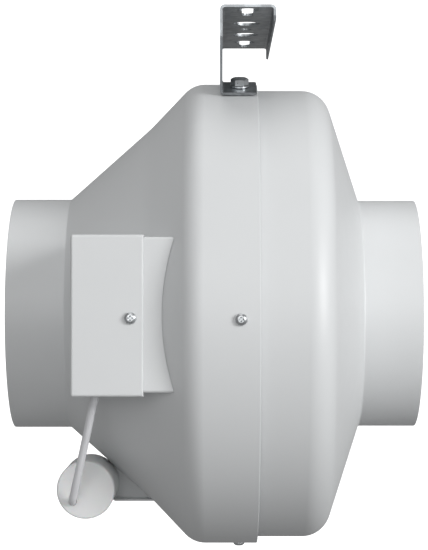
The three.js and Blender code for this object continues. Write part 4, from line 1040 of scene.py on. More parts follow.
def smooth_line(points, steps):
    """A smooth line through points, with so many steps from each point to the next."""
    stops = [Vector(point) for point in points]
    stops = [2 * stops[0] - stops[1], *stops, 2 * stops[-1] - stops[-2]]
    line = [stops[1]]
    for p0, p1, p2, p3 in zip(stops, stops[1:], stops[2:], stops[3:]):
        d0, d1, d2 = (math.sqrt((b - a).length) for a, b in ((p0, p1), (p1, p2), (p2, p3)))
        start = ((p1 - p0) / d0 - (p2 - p0) / (d0 + d1) + (p2 - p1) / d1) * d1
        end = ((p2 - p1) / d1 - (p3 - p1) / (d1 + d2) + (p3 - p2) / d2) * d1
        for k in range(1, steps + 1):
            t = k / steps
            bend = (2 * p1 - 2 * p2 + start + end) * t**3
            line.append(bend + (3 * p2 - 3 * p1 - 2 * start - end) * t**2 + start * t + p1)
    return line


class DUCTFAN_OT_lead(bpy.types.Operator):
    """Lay the lead from the terminal box to the capacitor"""

    bl_idname = "duct_fan.lead"
    bl_label = "Capacitor lead"

    def execute(self, context):
        radius = settings().box.lead_radius
        path = smooth_line(LEAD_ROUTE, LEAD_STEPS)
        line = mesh_of(path, [(i, i + 1) for i in range(len(path) - 1)])
        tube = grown(line, cable_tree(), {"Radius": radius, "Facets": CABLE_FACETS})
        lead = piece("lead", tube, cable_sheath(), ["capacitor_lead"])
        return {"FINISHED"}


# ---- Screws, bolts and rivets ----

HOLE_PLAY = 0.4 * MM  # round a shank
GROMMET_WALL = 1.5 * MM  # round the lead
CASING_SCREW_LENGTH = 9 * MM
COVER_SCREW_LENGTH = 7 * MM
MOTOR_SCREW_LENGTH = 5.5 * MM
EARTH_SCREW_LENGTH = 5 * MM
CASING_SCREW_FIRST = math.radians(-91)
CASING_SCREW_STEP = math.radians(-89)


def threaded(low, high, radius, pitch):
    """The (x, r) line of a thread between two places."""
    core = radius - pitch * 0.3
    count = int((high - low) / pitch)
    line = [(low, core * 0.6)]
    for i in range(count):
        line += [(low + (i + 0.25) * pitch, core), (low + (i + 0.75) * pitch, radius)]
    return line + [(high, core)]


def pan_screw(length_below):
    """A pan head above z = 0 with a tapered cross recess, and a threaded shank below."""
    sizes = settings().fasteners
    head, height = sizes.screw_head, sizes.screw_height
    outline = [(-length_below, 0), *threaded(-length_below, 0, sizes.screw_shank, sizes.screw_pitch)]
    outline += rounded(
        [
            (0, sizes.screw_shank),
            (0, head, 0.3 * MM),
            (height * 0.55, head, 0.8 * MM),
            (height, head * 0.62, 1.2 * MM),
            (height, 0),
        ]
    )[1:]
    slot, deep = 0.6 * MM, height - 1.7 * MM
    wing = [(-0.8 * MM, deep), (0.8 * MM, deep), (2.1 * MM, height + MM), (-2.1 * MM, height + MM)]
    recess = [extruded(wing, -slot, slot, "xz"), extruded(wing, -slot, slot, "yz")]
    return carved(upright(outline), *recess)


def hexagon(across_flats):
    return circle((0, 0), across_flats / math.sqrt(3), steps=6)


def hex_head(across_flats, height, both_ends=False):
    """A hexagon above z = 0 with its corners turned down to a cone."""
    flat = across_flats * 0.47
    corner = across_flats * 0.62
    slope = (corner - flat) * 0.55
    bottom = [(0, flat), (slope, corner)] if both_ends else [(0, corner)]
    turning = [(0, 0), *bottom, (height - slope, corner), (height, flat), (height, 0)]
    return carved(
        extruded(hexagon(across_flats), 0, height), upright(turning), operation="INTERSECT"
    )


def hex_bolt(below, height):
    sizes = settings().fasteners
    shank = threaded(-below, 0, sizes.bolt_radius, 1 * MM)
    shank = [(-below, 0), *shank, (0.5 * MM, sizes.bolt_radius), (0.5 * MM, 0)]
    return carved(hex_head(sizes.across_flats, height), upright(shank), operation="UNION")


def hex_nut(across_flats, hole, height):
    return carved(hex_head(across_flats, height, True), rod(hole, -MM, height + MM))


def washer(radius, hole, thickness):
    edge = thickness * 0.25
    return upright(
        rounded([(0, hole, edge), (0, radius, edge), (thickness, radius, edge), (thickness, hole, edge)])
    )


def on_ring(mesh, x, radius):
    """Stands what is made along Z at the top of a circle round the axis."""
    return placed(mesh, Matrix.Translation((x, 0, radius)))


class DUCTFAN_OT_screws(bpy.types.Operator):
    """Add the screws of the casing, the cover and the earth"""

    bl_idname = "duct_fan.screws"
    bl_label = "Screws"

    def execute(self, context):
        zinc = zinc_plated_steel()
        screw = on_ring(pan_screw(CASING_SCREW_LENGTH), FASTENER_X, BAND_RADIUS + GAP)
        mesh = ring_of(screw, 3, CASING_SCREW_FIRST, CASING_SCREW_STEP)
        nodes = ["casing_screw_front", "casing_screw_bottom", "casing_screw_back"]
        piece("casing_screws", mesh, zinc, nodes)
        low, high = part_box("cover_screw")
        place = (low + high) / 2
        place.y = low.y + settings().fasteners.screw_height
        cover = placed(pan_screw(COVER_SCREW_LENGTH), Matrix.Translation(place), TO_FRONT)
        piece("cover_fixing_screw", cover, zinc, ["cover_screw"])
        sizes = settings().box
        place = on_cone(sizes.earth_setback, sizes.earth_angle) @ Matrix.Translation((0, 0, GAP))
        earth = placed(pan_screw(EARTH_SCREW_LENGTH), place)
        piece("earthing_screw", earth, zinc, ["earth_screw"])
        return {"FINISHED"}


# ---- Hanging bracket ----

WASHER_RADIUS = 6 * MM
WASHER_THICKNESS = 1.2 * MM
BOLT_HEAD = 4 * MM
BOLT_BELOW = 12 * MM
NUT_HEIGHT = 5 * MM


def keyhole(x, y):
    """Outline of a keyhole with its slot towards +Y."""
    sizes = settings().bracket
    neck = math.asin(sizes.keyhole_slot / sizes.keyhole_head)
    head = circle((x, y), sizes.keyhole_head, math.pi / 2 + neck, 2 * (math.pi - neck))
    return head + circle((x, y + sizes.keyhole_length), sizes.keyhole_slot, 0, math.pi)


def bracket_web_outline(half):
    """The web in y and z, from the axis, with its lower corners just above the feet's bends."""
    sizes = settings().bracket
    top = -AXIS_Z

    def on_foot(along):
        around = Matrix.Rotation(-sizes.foot_angle, 2)
        return around @ Vector((along, BAND_RADIUS + GAP + sizes.bend))

    inner = on_foot(-sizes.foot_length / 2)
    side = [
        Vector((half, top)),
        Vector((half, top - sizes.end_height)),
        on_foot(sizes.foot_length / 2),
        inner,
        Vector((inner.x - sizes.arch, BAND_RADIUS + sizes.arch)),
    ]
    return side + [Vector((-p.x, p.y)) for p in reversed(side)]


def bracket_foot(web_x, angle):
    """A foot with its bend, standing on the casing at an angle from the top."""
    sizes = settings().bracket
    radius = BAND_RADIUS + GAP
    half = sizes.foot_length / 2
    line = [(web_x + sizes.foot_width, radius), (web_x, radius, sizes.bend), (web_x, radius + 2 * sizes.bend)]
    foot = extruded(sheet_outline(rounded(line), sizes.sheet), -half, half, "xz")
    hole = on_ring(rod(settings().fasteners.bolt_radius + HOLE_PLAY, -REACH, REACH), FASTENER_X, radius)
    return placed(carved(foot, hole), ON_AXIS, Matrix.Rotation(-angle, 4, "X"))


class DUCTFAN_OT_bracket(bpy.types.Operator):
    """Fold the hanging bracket and bolt it to the casing"""

    bl_idname = "duct_fan.bracket"
    bl_label = "Hanging bracket"

    def execute(self, context):
        sizes = settings().bracket
        low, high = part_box("hanging_bracket")
        lip = [(high.x, high.z - sizes.lip)]
        corners = [(low.x, low.z - MM), (low.x, high.z, sizes.bend), (high.x, high.z, sizes.bend), *lip]
        channel = extruded(sheet_outline(rounded(corners), sizes.sheet), low.y, high.y, "xz")
        outline = [(p.x, p.y + AXIS_Z) for p in bracket_web_outline(high.y)]
        web = extruded(outline, low.x - MM, high.x + MM, "yz")
        body = carved(channel, web, operation="INTERSECT")
        feet = [bracket_foot(low.x, turn) for turn in (-sizes.foot_angle, sizes.foot_angle)]
        body = carved(body, *feet, operation="UNION")
        hole_x = low.x + sizes.hole_line
        holes = [circle((hole_x, 0), sizes.centre_hole)]
        holes += [circle((hole_x, side * sizes.round_hole_place), sizes.round_hole) for side in (-1, 1)]
        heads = [(side * sizes.keyhole_pitch - sizes.keyhole_length) / 2 for side in (-1, 1)]
        holes += [keyhole(hole_x, head) for head in heads]
        cuts = [extruded(hole, high.z - 2 * sizes.bend, high.z + MM) for hole in holes]
        bottom = high.z - sizes.lip
        for side in (-1, 1):
            corner = [(side * (high.y + MM), bottom - MM), (side * (high.y + MM), bottom + sizes.corner)]
            corner += [(side * high.y, bottom + sizes.corner), (side * (high.y - sizes.corner), bottom)]
            corner += [(side * (high.y - sizes.corner), bottom - MM)]
            cuts.append(extruded(corner, high.x - 2 * sizes.sheet, high.x + MM, "yz"))
        body = softened(carved(body, *cuts), 0.25 * MM)
        piece("ceiling_bracket", body, galvanised_steel(), ["hanging_bracket"])

        zinc = zinc_plated_steel()
        bolt = settings().fasteners.bolt_radius
        base = BAND_RADIUS + 2 * GAP + sizes.sheet
        nut = hex_nut(settings().fasteners.across_flats, bolt + HOLE_PLAY, NUT_HEIGHT)
        parts = [
            ("bracket_washers", washer(WASHER_RADIUS, bolt + HOLE_PLAY, WASHER_THICKNESS), base, "washer"),
            ("bracket_bolts", hex_bolt(BOLT_BELOW, BOLT_HEAD), base + WASHER_THICKNESS + GAP, "bolt"),
            ("bracket_nuts", nut, nut_place(), "nut"),
        ]
        for name, mesh, radius, kind in parts:
            pair = ring_of(on_ring(mesh, FASTENER_X, radius), 2, -sizes.foot_angle, 2 * sizes.foot_angle)
            piece(name, pair, zinc, [f"bracket_{kind}_front", f"bracket_{kind}_back"])
        return {"FINISHED"}


def nut_place():
    """Base of the nuts under the lap, from the axis."""
    low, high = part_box("bracket_nut_back")
    centre = (low + high) / 2
    return math.hypot(centre.y, centre.z - AXIS_Z) - NUT_HEIGHT / 2


# ---- Terminal box ----


def on_cone(setback, angle_from_top):
    """Stands what is made along Z on the outside of the outlet cone, so far from its root."""
    sizes = settings().casing
    x = OUTLET_LOW.x + sizes.outlet_spigot_length + setback
    radius = sizes.outlet_spigot_radius + setback * math.tan(sizes.outlet_cone_angle)
    turn = Matrix.Rotation(-angle_from_top, 4, "X")
    lean = Matrix.Rotation(-sizes.outlet_cone_angle, 4, "Y")
    return ON_AXIS @ turn @ Matrix.Translation((x, 0, radius)) @ lean


def casing_room():
    """What the outlet shell and its inside take, with the gap."""
    line = shifted(outlet_line(), GAP)
    return turned([(line[0].x, 0), *line, (line[-1].x, 0)], CASING_FACETS, ON_AXIS)


def folded_box(low, high, radius):
    """A box with rounded edges."""
    return softened(block(low, high), radius, 4, math.radians(60))


def box_hole_y():
    low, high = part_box("lead_grommet")
    return (low.y + high.y) / 2


class DUCTFAN_OT_terminal_box(bpy.types.Operator):
    """Fold the terminal box base and its cover, and fit the grommets"""

    bl_idname = "duct_fan.terminal_box"
    bl_label = "Terminal box"

    def execute(self, context):
        sizes = settings().box
        sheet = Vector((sizes.sheet,) * 3)
        low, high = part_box("terminal_box_base")
        cover_low, cover_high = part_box("terminal_box_cover")
        far = Vector((OUTLET_HIGH.x - MM, 0, high.z))
        outer = folded_box(low, far, sizes.bend)
        inside = Vector((far.x + REACH, REACH, high.z - sizes.sheet))
        inner = folded_box(low + sheet, inside, sizes.bend - sizes.sheet)
        strip_x = cover_high.x - sizes.strip
        opening = block((low.x + sizes.sheet, low.y - MM, low.z + sizes.sheet), (strip_x, 0, inside.z))
        lead_low, lead_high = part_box("lead_grommet")
        lead_x = (lead_low.x + lead_high.x) / 2
        hole_y = box_hole_y()
        lead_hole = rod(sizes.lead_radius + GROMMET_WALL, low.z - SHORT_REACH, low.z + SHORT_REACH)
        lead_hole = placed(lead_hole, Matrix.Translation((lead_x, hole_y, 0)))
        supply_low, supply_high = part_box("supply_grommet")
        supply_z = (supply_low.z + supply_high.z) / 2
        supply_place = Matrix.Translation((low.x, hole_y, supply_z)) @ TO_LEFT
        supply_hole = placed(rod(sizes.supply_hole, -SHORT_REACH, SHORT_REACH), supply_place)
        screw_low, screw_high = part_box("cover_screw")
        screw_place = Vector(((screw_low.x + screw_high.x) / 2, low.y, (screw_low.z + screw_high.z) / 2))
        shank = settings().fasteners.screw_shank + HOLE_PLAY
        screw_hole = placed(rod(shank, -SHORT_REACH, SHORT_REACH), Matrix.Translation(screw_place), TO_FRONT)
        base = carved(outer, inner, opening, casing_room(), lead_hole, supply_hole, screw_hole)
        base = softened(base, 0.2 * MM)
        piece("box_base", base, powder_coat(), ["terminal_box_base"])

        cover = folded_box(cover_low, cover_high + Vector((REACH, REACH, 0)), sizes.bend)
        room = folded_box(
            cover_low + sheet,
            cover_high + Vector((LONG_REACH, LONG_REACH, -sizes.sheet)),
            sizes.bend - sizes.sheet,
        )
        beyond = cover_high + Vector((FULL_REACH,) * 3)
        below = cover_low - Vector((REACH,) * 3)
        cut_right = block((cover_high.x, below.y, below.z), beyond)
        cut_back = block((below.x, cover_high.y, below.z), beyond)
        edge = sizes.edge
        corner = [(cover_high.x - edge, cover_low.y - MM), (cover_high.x + MM, cover_low.y - MM)]
        corner += [(cover_high.x + MM, cover_low.y + edge), (cover_high.x, cover_low.y + edge)]
        corner += [(cover_high.x - edge, cover_low.y)]
        chamfer = extruded(corner, below.z, beyond.z)
        screw_hole = placed(rod(shank, -REACH, REACH), Matrix.Translation(screw_place), TO_FRONT)
        plate = softened(carved(cover, room, cut_right, cut_back, chamfer, screw_hole), 0.15 * MM)
        piece("box_cover", plate, powder_coat(), ["terminal_box_cover"])

        rubber = grommet_rubber()
        supply = placed(grommet(sizes.supply_hole, 3.5 * MM, GAP), supply_place)
        piece("supply_cable_grommet", supply, rubber, ["supply_grommet"])
        lead_place = Matrix.Translation((lead_x, hole_y, low.z)) @ Matrix.Rotation(math.pi, 4, "X")
        lead = grommet(sizes.lead_radius + GROMMET_WALL, sizes.lead_radius + GAP, 0.1 * MM)
        lead = placed(lead, lead_place)
        piece("lead_exit_grommet", lead, rubber, ["lead_grommet"])
        motor = grommet(sizes.cable_radius + 2 * MM, sizes.cable_radius + GAP, 0.7 * MM)
        motor = placed(motor, on_cone(sizes.cable_setback, math.radians(-90)))
        piece("motor_lead_grommet", motor, rubber, ["motor_cable_grommet"])
        return {"FINISHED"}


def grommet(hole, bore, slack):
    """A rubber ring that grips a sheet lying just below z = 0."""
    sizes = settings().box
    lip, flange, neck = sizes.grommet_height, hole + sizes.grommet_lip, hole - GAP
    low, soft = -sizes.sheet - slack, 0.7 * MM
    corners = [
        (low - lip, bore, 0.4 * MM),
        (low - lip, flange - 0.6 * MM, soft),
        (low, flange, soft),
        (low, neck),
        (slack, neck),
        (slack, flange, soft),
        (slack + lip, flange - 0.6 * MM, soft),
        (slack + lip, bore, 0.4 * MM),
    ]
    return upright(rounded(corners))


# ---- Capacitor ----

LID_PLAY = 0.05 * MM  # can inside the lid's radius
STUD_PLAY = 0.3 * MM


class DUCTFAN_OT_capacitor(bpy.types.Operator):
    """Add the capacitor with its lid, nut and tab"""

    bl_idname = "duct_fan.capacitor"
    bl_label = "Capacitor"

    def execute(self, context):
        sizes = settings().capacitor
        low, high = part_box("capacitor_lid")
        centre = Vector(((low.x + high.x) / 2, 0, (low.z + high.z) / 2))
        radius, reach = (high.x - low.x) / 2, -low.y
        place = Matrix.Translation(centre) @ TO_FRONT
        lid_back = reach - sizes.lid
        can_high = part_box("capacitor_body")[1]
        side = radius - LID_PLAY
        stud = threaded(-can_high.y, GAP, sizes.stud_radius, 1.25 * MM)
        can = [(-can_high.y, 0), *stud, (GAP, sizes.stud_radius)]
        can += rounded(
            [
                (GAP, sizes.stud_radius),
                (GAP, side, 2 * MM),
                (lid_back - GAP - 1.2 * MM, side),
                (lid_back - GAP - 0.6 * MM, side - 0.5 * MM),
                (lid_back - GAP, side - 0.5 * MM),
                (lid_back - GAP, 0),
            ]
        )[1:]
        piece(
            "capacitor_can",
            placed(upright(can, MOTOR_FACETS), place),
            capacitor_plastic(),
            ["capacitor_body"],
        )
        lid = rounded(
            [(lid_back, 0), (lid_back, radius, 0.3 * MM), (reach, radius, sizes.lid_edge), (reach, 0)]
        )
        entry = rod(settings().box.lead_radius + GAP, lid_back - MM, reach + MM)
        entry = placed(entry, Matrix.Translation((-sizes.lead_x, -sizes.lead_z, 0)))
        lid = placed(carved(upright(lid, MOTOR_FACETS), entry), place)
        piece("capacitor_cap", lid, capacitor_plastic(), ["capacitor_lid"])

        zinc = zinc_plated_steel()
        for name, source, made in (
            ("stud_washer", "capacitor_washer", washer),
            ("stud_nut", "capacitor_nut", hex_nut),
        ):
            part_low, part_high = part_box(source)
            hole = sizes.stud_radius + STUD_PLAY
            thickness = part_high.y - part_low.y
            width = (part_high.x - part_low.x) / 2
            mesh = made(width if made is washer else settings().fasteners.stud_flats, hole, thickness)
            mesh = placed(mesh, Matrix.Translation((centre.x, part_high.y, centre.z)), TO_FRONT)
            piece(name, mesh, zinc, [source])

        tab_low, tab_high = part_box("capacitor_tab")
        half = (tab_high.z - tab_low.z) / 2
        sheet = sizes.tab_sheet
        strap = circle((centre.x, centre.z), half, math.pi / 2, math.pi, 24)
        strap += [Vector((OUTLET_HIGH.x - MM, tab_low.z)), Vector((OUTLET_HIGH.x - MM, tab_high.z))]
        flat = extruded(strap, 0, sheet, "xz")
        bend = 2.2 * MM
        fold = rounded([(tab_low.y, tab_low.z), (sheet, tab_low.z, bend), (sheet, tab_low.z + 3 * bend)])
        fold = sheet_outline(fold[::-1], sheet)
        flange_x = centre.x + math.sqrt(radius**2 - (half - sheet) ** 2) + 2 * GAP
        flange = extruded(fold, flange_x, OUTLET_HIGH.x - MM, "yz")
        under = block((flange_x, -MM, tab_low.z - MM), (0, REACH, tab_low.z + 2 * bend))
        strap_part = carved(flat, under)
        tab = carved(strap_part, flange, operation="UNION")
        stud_hole = rod(sizes.stud_radius + HOLE_PLAY, -REACH, REACH)
        stud_hole = placed(stud_hole, Matrix.Translation(centre), TO_FRONT)
        tab = softened(carved(tab, casing_room(), stud_hole), 0.2 * MM)
        piece("capacitor_strap", tab, powder_coat(), ["capacitor_tab"])
        return {"FINISHED"}


# ---- Motor and impeller ----


ARM_SLOPE = math.radians(46.3)  # of the support's arms, along the cone
ARM_FOOT = 9 * MM  # the arm's end that lies on the cone


def motor_screw_places():
    names = [f"motor_screw_{i}" for i in (1, 2, 3, 4)]
    return names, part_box("motor_screw_1")


class DUCTFAN_OT_stator(bpy.types.Operator):
    """Add the motor's support, flange and screws"""

    bl_idname = "duct_fan.stator"
    bl_label = "Stator"

    def execute(self, context):
        sizes = settings().motor
        low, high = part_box("motor_support")
        support_low = low.x
        reach = Vector((ARM_FOOT * math.cos(ARM_SLOPE), ARM_FOOT * math.sin(ARM_SLOPE)))
        top = arm_bend_radius(ARM_SLOPE)
        line = [
            (support_low, sizes.support_disc - 10 * MM),
            (support_low, top, 3 * MM),
            (support_low + reach.x, top + reach.y),
        ]
        half = sizes.arm_width / 2
        arm = extruded(sheet_outline(rounded(line), sizes.support_sheet), -half, half, "xz")
        arms = ring_of(arm, 4, math.pi / 4, math.pi / 2)
        support_high = support_low + sizes.support_sheet
        disc = along_axis(rod(sizes.support_disc, support_low, support_high, MOTOR_FACETS))
        support = carved(disc, arms, operation="UNION")
        through = (support_low - MM, support_low + 3 * MM)
        hub = along_axis(rod(sizes.hub_hole, *through))
        cable = rod(settings().box.cable_radius + MM, *through)
        cable = along_axis(placed(cable, Matrix.Translation((0, -sizes.cable_offset, 0))))
        names, (screw_low, screw_high) = motor_screw_places()
        screw_y = (screw_low.y + screw_high.y) / 2
        circle_radius = abs(screw_y) * math.sqrt(2)
        hole = placed(
            rod(sizes.motor_screw_hole, support_low - MM, support_low + REACH),
            Matrix.Rotation(math.pi / 2, 4, "Y"),
        )
        hole = placed(hole, Matrix.Translation((0, 0, circle_radius)))
        holes = ring_of(hole, 4, math.pi / 4, math.pi / 2)
        support = softened(carved(support, hub, cable, holes.copy()), 0.2 * MM)
        piece("motor_spider", support, galvanised_steel(), ["motor_support"])

        zinc = zinc_plated_steel()
        screw_place = Matrix.Translation((support_low - GAP, 0, circle_radius))
        screw = placed(pan_screw(MOTOR_SCREW_LENGTH), screw_place, TO_LEFT)
        mesh = ring_of(screw, 4, math.pi / 4, math.pi / 2)
        piece("motor_screws", mesh, zinc, names)

        low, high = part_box("stator_flange")
        seat, tube = sizes.bearing_radius + GAP, sizes.bearing_radius + GAP + sizes.tube_wall
        flange_radius = (high.z - low.z) / 2
        flange_end = low.x + sizes.flange_thickness
        deep = sizes.bearing_width + 1 * MM + GAP
        outline = rounded(
            [
                (low.x, seat, 0.4 * MM),
                (low.x, flange_radius, 1 * MM),
                (flange_end, flange_radius, 1 * MM),
                (flange_end, tube, 2 * MM),
                (high.x, tube, 0.6 * MM),
                (high.x, seat, 0.4 * MM),
                (high.x - deep, seat),
                (high.x - deep, seat - 2 * MM),
                (low.x + deep, seat - 2 * MM),
                (low.x + deep, seat),
            ]
        )
        flange = carved(turned(outline, MOTOR_FACETS, ON_AXIS), holes)
        piece("motor_flange", flange, cast_aluminium(), ["stator_flange"])
        return {"FINISHED"}


def along_axis(mesh):
    """Turns what is made along Z round to lie along the duct's axis."""
    return placed(mesh, ON_AXIS, Matrix.Rotation(math.pi / 2, 4, "Y"))


def arm_bend_radius(slope):
    """Where a support arm bends to lie inside the shoulder."""
    sizes = settings()
    reach = (sizes.casing.sheet + sizes.motor.foot_gap) / math.cos(slope)
    setback = OUTLET_HIGH.x - sizes.casing.outlet_band_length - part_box("motor_support")[0].x
    return BAND_RADIUS - setback * math.tan(slope) - reach


class DUCTFAN_OT_bearings(bpy.types.Operator):
    """Add the rings, balls and cages of the two bearings"""

    bl_idname = "duct_fan.bearings"
    bl_label = "Bearings"

    def execute(self, context):
        steel = ground_steel()
        sizes = settings().motor
        for end in ("outlet", "inlet"):
            low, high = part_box(f"bearing_outer_ring_{end}")
            outer = (high.z - low.z) / 2
            start, width = low.x, high.x - low.x
            middle = start + width / 2
            rings = (
                ("bearing_cup", outer, -1, "casing", f"bearing_outer_ring_{end}"),
                ("bearing_cone", sizes.shaft_radius + GAP, 1, "rotor", f"bearing_inner_ring_{end}"),
            )
            for name, plain, side, body, source in rings:
                land = plain + side * sizes.ring_wall
                groove = sizes.ball_radius + GAP
                half = math.acos(abs(sizes.ball_circle - land) / groove)
                turns = [k * half / 4 for k in range(-4, 5)]
                centre = Vector((middle, sizes.ball_circle))
                arc = [centre + groove * Vector((math.sin(t), -side * math.cos(t))) for t in turns]
                edge = 0.3 * MM
                line = rounded([(start + width, plain, edge), (start, plain, edge), (start, land)])
                outline = line + arc + [Vector((start + width, land))]
                mesh = turned(outline, SMALL_FACETS, ON_AXIS)
                piece(f"{name}_{end}", mesh, steel, [source], body)
            cage = turned(
                rounded(
                    [
                        (middle - 1.2 * MM, sizes.ball_circle - 0.5 * MM, 0.2 * MM),
                        (middle - 1.2 * MM, sizes.ball_circle + 0.5 * MM, 0.2 * MM),
                        (middle + 1.2 * MM, sizes.ball_circle + 0.5 * MM, 0.2 * MM),
                        (middle + 1.2 * MM, sizes.ball_circle - 0.5 * MM, 0.2 * MM),
                    ]
                ),
                SMALL_FACETS,
                ON_AXIS,
            )
            form = bmesh.new()
            bmesh.ops.create_uvsphere(form, u_segments=20, v_segments=12, radius=sizes.ball_radius)
            ball = bpy.data.meshes.new("ball")
            form.to_mesh(ball)
            form.free()
            balls = ring_of(on_ring(ball, middle, sizes.ball_circle), 7, 0, 2 * math.pi / 7)
            mesh = carved(cage, balls, operation="UNION")
            piece(f"balls_{end}", mesh, steel, [f"ball_cage_{end}"], f"{end}_ball_cage")
        return {"FINISHED"}


class DUCTFAN_OT_rotor(bpy.types.Operator):
    """Add the rotor cup, the shaft and the impeller"""

    bl_idname = "duct_fan.rotor"
    bl_label = "Rotor and impeller"

    def execute(self, context):
        sizes = settings().motor
        low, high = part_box("rotor_cup")
        inner = sizes.rotor_radius - sizes.rotor_wall
        bore = sizes.shaft_radius + GAP
        plate_low, plate_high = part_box("impeller_back_plate")
        flange_end = plate_low.x - GAP
        flange_start = flange_end - sizes.rotor_flange_thickness
        rim = sizes.rotor_radius + sizes.rotor_flange
        end = high.x - sizes.rotor_end
        soft = 0.5 * MM
        outline = rounded(
            [
                (low.x, inner, soft),
                (low.x, sizes.rotor_radius, soft),
                (flange_start, sizes.rotor_radius, soft),
                (flange_start, rim, soft),
                (flange_end, rim, soft),
                (flange_end, sizes.rotor_radius, soft / 4),
                (high.x, sizes.rotor_radius, 4 * MM),
                (high.x, bore, soft),
                (end - 2 * MM, bore),
                (end - 2 * MM, bore + 4 * MM, soft),
                (end, bore + 4 * MM, soft),
                (end, inner, 2 * MM),
            ]
        )
        rivet_circle = sizes.rotor_radius + sizes.rotor_flange / 2
        hole = placed(rod(sizes.rivet_radius + GAP, -REACH, REACH), Matrix.Rotation(math.pi / 2, 4, "Y"))
        hole = placed(hole, Matrix.Translation((flange_start, 0, rivet_circle)))
        holes = ring_of(hole, 4, math.pi / 4, math.pi / 2)
        cup = carved(turned(outline, MOTOR_FACETS, ON_AXIS), holes.copy())
        piece("rotor_shell", cup, cast_aluminium(), ["rotor_cup"], "rotor")

        shaft_low, shaft_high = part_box("shaft")
        radius = sizes.shaft_radius
        shaft = rounded(
            [
                (shaft_low.x + 1.5 * MM, 0),
                (shaft_low.x, 0.9 * MM),
                (shaft_low.x, radius, 0.6 * MM),
                (shaft_high.x, radius, 0.6 * MM),
                (shaft_high.x, 0.9 * MM),
                (shaft_high.x - 1.5 * MM, 0),
            ]
        )
        shaft = turned(shaft, SMALL_FACETS, ON_AXIS)
        piece("motor_shaft", shaft, ground_steel(), ["shaft"], "rotor")

        sheet = sizes.blade_sheet
        galvanised = galvanised_steel()
        plate = rounded(
            [
                (plate_low.x, sizes.rotor_radius + GAP, 0.3 * MM),
                (plate_low.x, sizes.impeller_radius, 0.3 * MM),
                (plate_high.x, sizes.impeller_radius, 0.3 * MM),
                (plate_high.x, sizes.rotor_radius + GAP, 0.3 * MM),
            ]
        )
        plate = carved(turned(plate, CASING_FACETS, ON_AXIS), holes)
        piece("back_plate", plate, galvanised, ["impeller_back_plate"], "rotor")

        shroud_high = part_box("impeller_shroud")[1]
        rise_x = shroud_high.x - sizes.eye_length - sizes.shroud_rise
        shroud_line = rounded(
            [
                (rise_x, sizes.impeller_radius),
                (rise_x + sizes.shroud_rise, sizes.eye_radius, sizes.eye_fillet),
                (shroud_high.x, sizes.eye_radius),
            ]
        )
        shroud = turned(sheet_outline(shroud_line, sheet), CASING_FACETS, ON_AXIS)
        piece("shroud_ring", shroud, galvanised, ["impeller_shroud"], "rotor")

        blade_start = plate_high.x + GAP
        blade_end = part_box("impeller_blade_1")[1].x
        steps = 16
        spread = 1 / math.tan(sizes.blade_angle)
        outer = sizes.impeller_radius - sizes.blade_end_inset
        radii = [sizes.blade_inner + (outer - sizes.blade_inner) * k / steps for k in range(steps + 1)]
        turns = [spread * math.log(r / sizes.blade_inner) for r in radii]
        spiral = [Vector((r * math.cos(t), r * math.sin(t))) for r, t in zip(radii, turns)]
        strip = sheet_outline(shifted(spiral, sheet / 2), sheet)
        under = [p for p in shifted(shroud_line, -sheet - GAP) if p.x < blade_end + MERGE]
        room = [(blade_start, 0), (blade_start, sizes.impeller_radius), *under, (under[-1].x, 0)]
        blade = carved(
            extruded(strip, blade_start, shroud_high.x, "yz"),
            turned(room, CASING_FACETS),
            operation="INTERSECT",
        )
        blades = ring_of(blade, 7, 0, 2 * math.pi / 7)
        names = [f"impeller_blade_{i}" for i in range(1, 8)]
        piece("blades", blades, galvanised, names, "rotor")

        grip = sizes.rotor_flange_thickness + sheet + 3 * GAP
        head, tall, shank = settings().fasteners.rivet_head, sizes.rivet_height, sizes.rivet_radius
        rivet = rounded(
            [
                (-tall, 0),
                (-tall, head * 0.7, 0.9 * MM),
                (0, head, 0.2 * MM),
                (0, shank),
                (grip, shank),
                (grip, head, 0.2 * MM),
                (grip + tall, head * 0.7, 0.9 * MM),
                (grip + tall, 0),
            ]
        )
        rivet = turned(rivet, 24, Matrix.Translation((flange_start - GAP, 0, rivet_circle)))
        rivets = ring_of(rivet, 4, math.pi / 4, math.pi / 2)
        names = [f"impeller_rivet_{i}" for i in range(1, 5)]
        piece("rivets", rivets, zinc_plated_steel(), names, "rotor")
        return {"FINISHED"}


class DUCTFAN_OT_finishes(bpy.types.Operator):
    """Give the frame's own pieces inside the motor and the box their finishes"""

    bl_idname = "duct_fan.finishes"
    bl_label = "Finishes of the frame's pieces"

    def execute(self, context):
        finishes = {
            "terminal_block": terminal_polyamide,
            "stator_core": laminated_steel,
            "rotor_laminations": laminated_steel,
            "winding_outlet_side": enamelled_copper,
            "winding_inlet_side": enamelled_copper,
            "motor_cable": cable_sheath,
        }
        for name, finish in finishes.items():
            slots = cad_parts[name].data.materials
            slots.clear()
            slots.append(finish())
        return {"FINISHED"}


class DUCTFAN_PT_panel(bpy.types.Panel):
    """Lists the pieces of the fan"""

    bl_idname = "DUCTFAN_PT_panel"
    bl_label = "Duct fan"
    bl_space_type = "VIEW_3D"
    bl_region_type = "UI"
    bl_category = "Duct fan"

    def draw(self, context):
        for operator in OPERATORS:
            self.layout.operator(operator.bl_idname)


GROUPS = [
    DuctFanCasing,
    DuctFanBracket,
    DuctFanBox,
    DuctFanCapacitor,
    DuctFanFasteners,
    DuctFanMotor,
    DuctFanColours,
    DuctFanSettings,
]
OPERATORS = [
    DUCTFAN_OT_stage,
    DUCTFAN_OT_lead,
    DUCTFAN_OT_casing,
    DUCTFAN_OT_screws,
    DUCTFAN_OT_bracket,
    DUCTFAN_OT_terminal_box,
    DUCTFAN_OT_capacitor,
    DUCTFAN_OT_stator,
    DUCTFAN_OT_bearings,
    DUCTFAN_OT_rotor,
    DUCTFAN_OT_finishes,
]


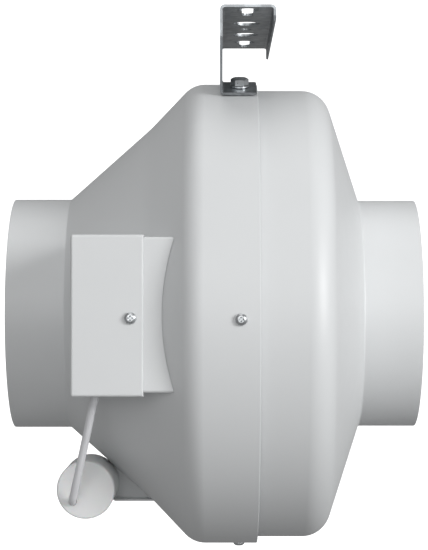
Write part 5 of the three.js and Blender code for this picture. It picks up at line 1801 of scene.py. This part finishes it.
def register():
    for item in (*GROUPS, *OPERATORS, DUCTFAN_PT_panel):
        bpy.utils.register_class(item)
    bpy.types.Scene.duct_fan = bpy.props.PointerProperty(type=DuctFanSettings)


def unregister():
    del bpy.types.Scene.duct_fan
    for item in reversed((*GROUPS, *OPERATORS, DUCTFAN_PT_panel)):
        bpy.utils.unregister_class(item)


def main():
    register()
    for operator in OPERATORS:
        group, name = operator.bl_idname.split(".")
        getattr(getattr(bpy.ops, group), name)()


if __name__ == "__main__":
    main()
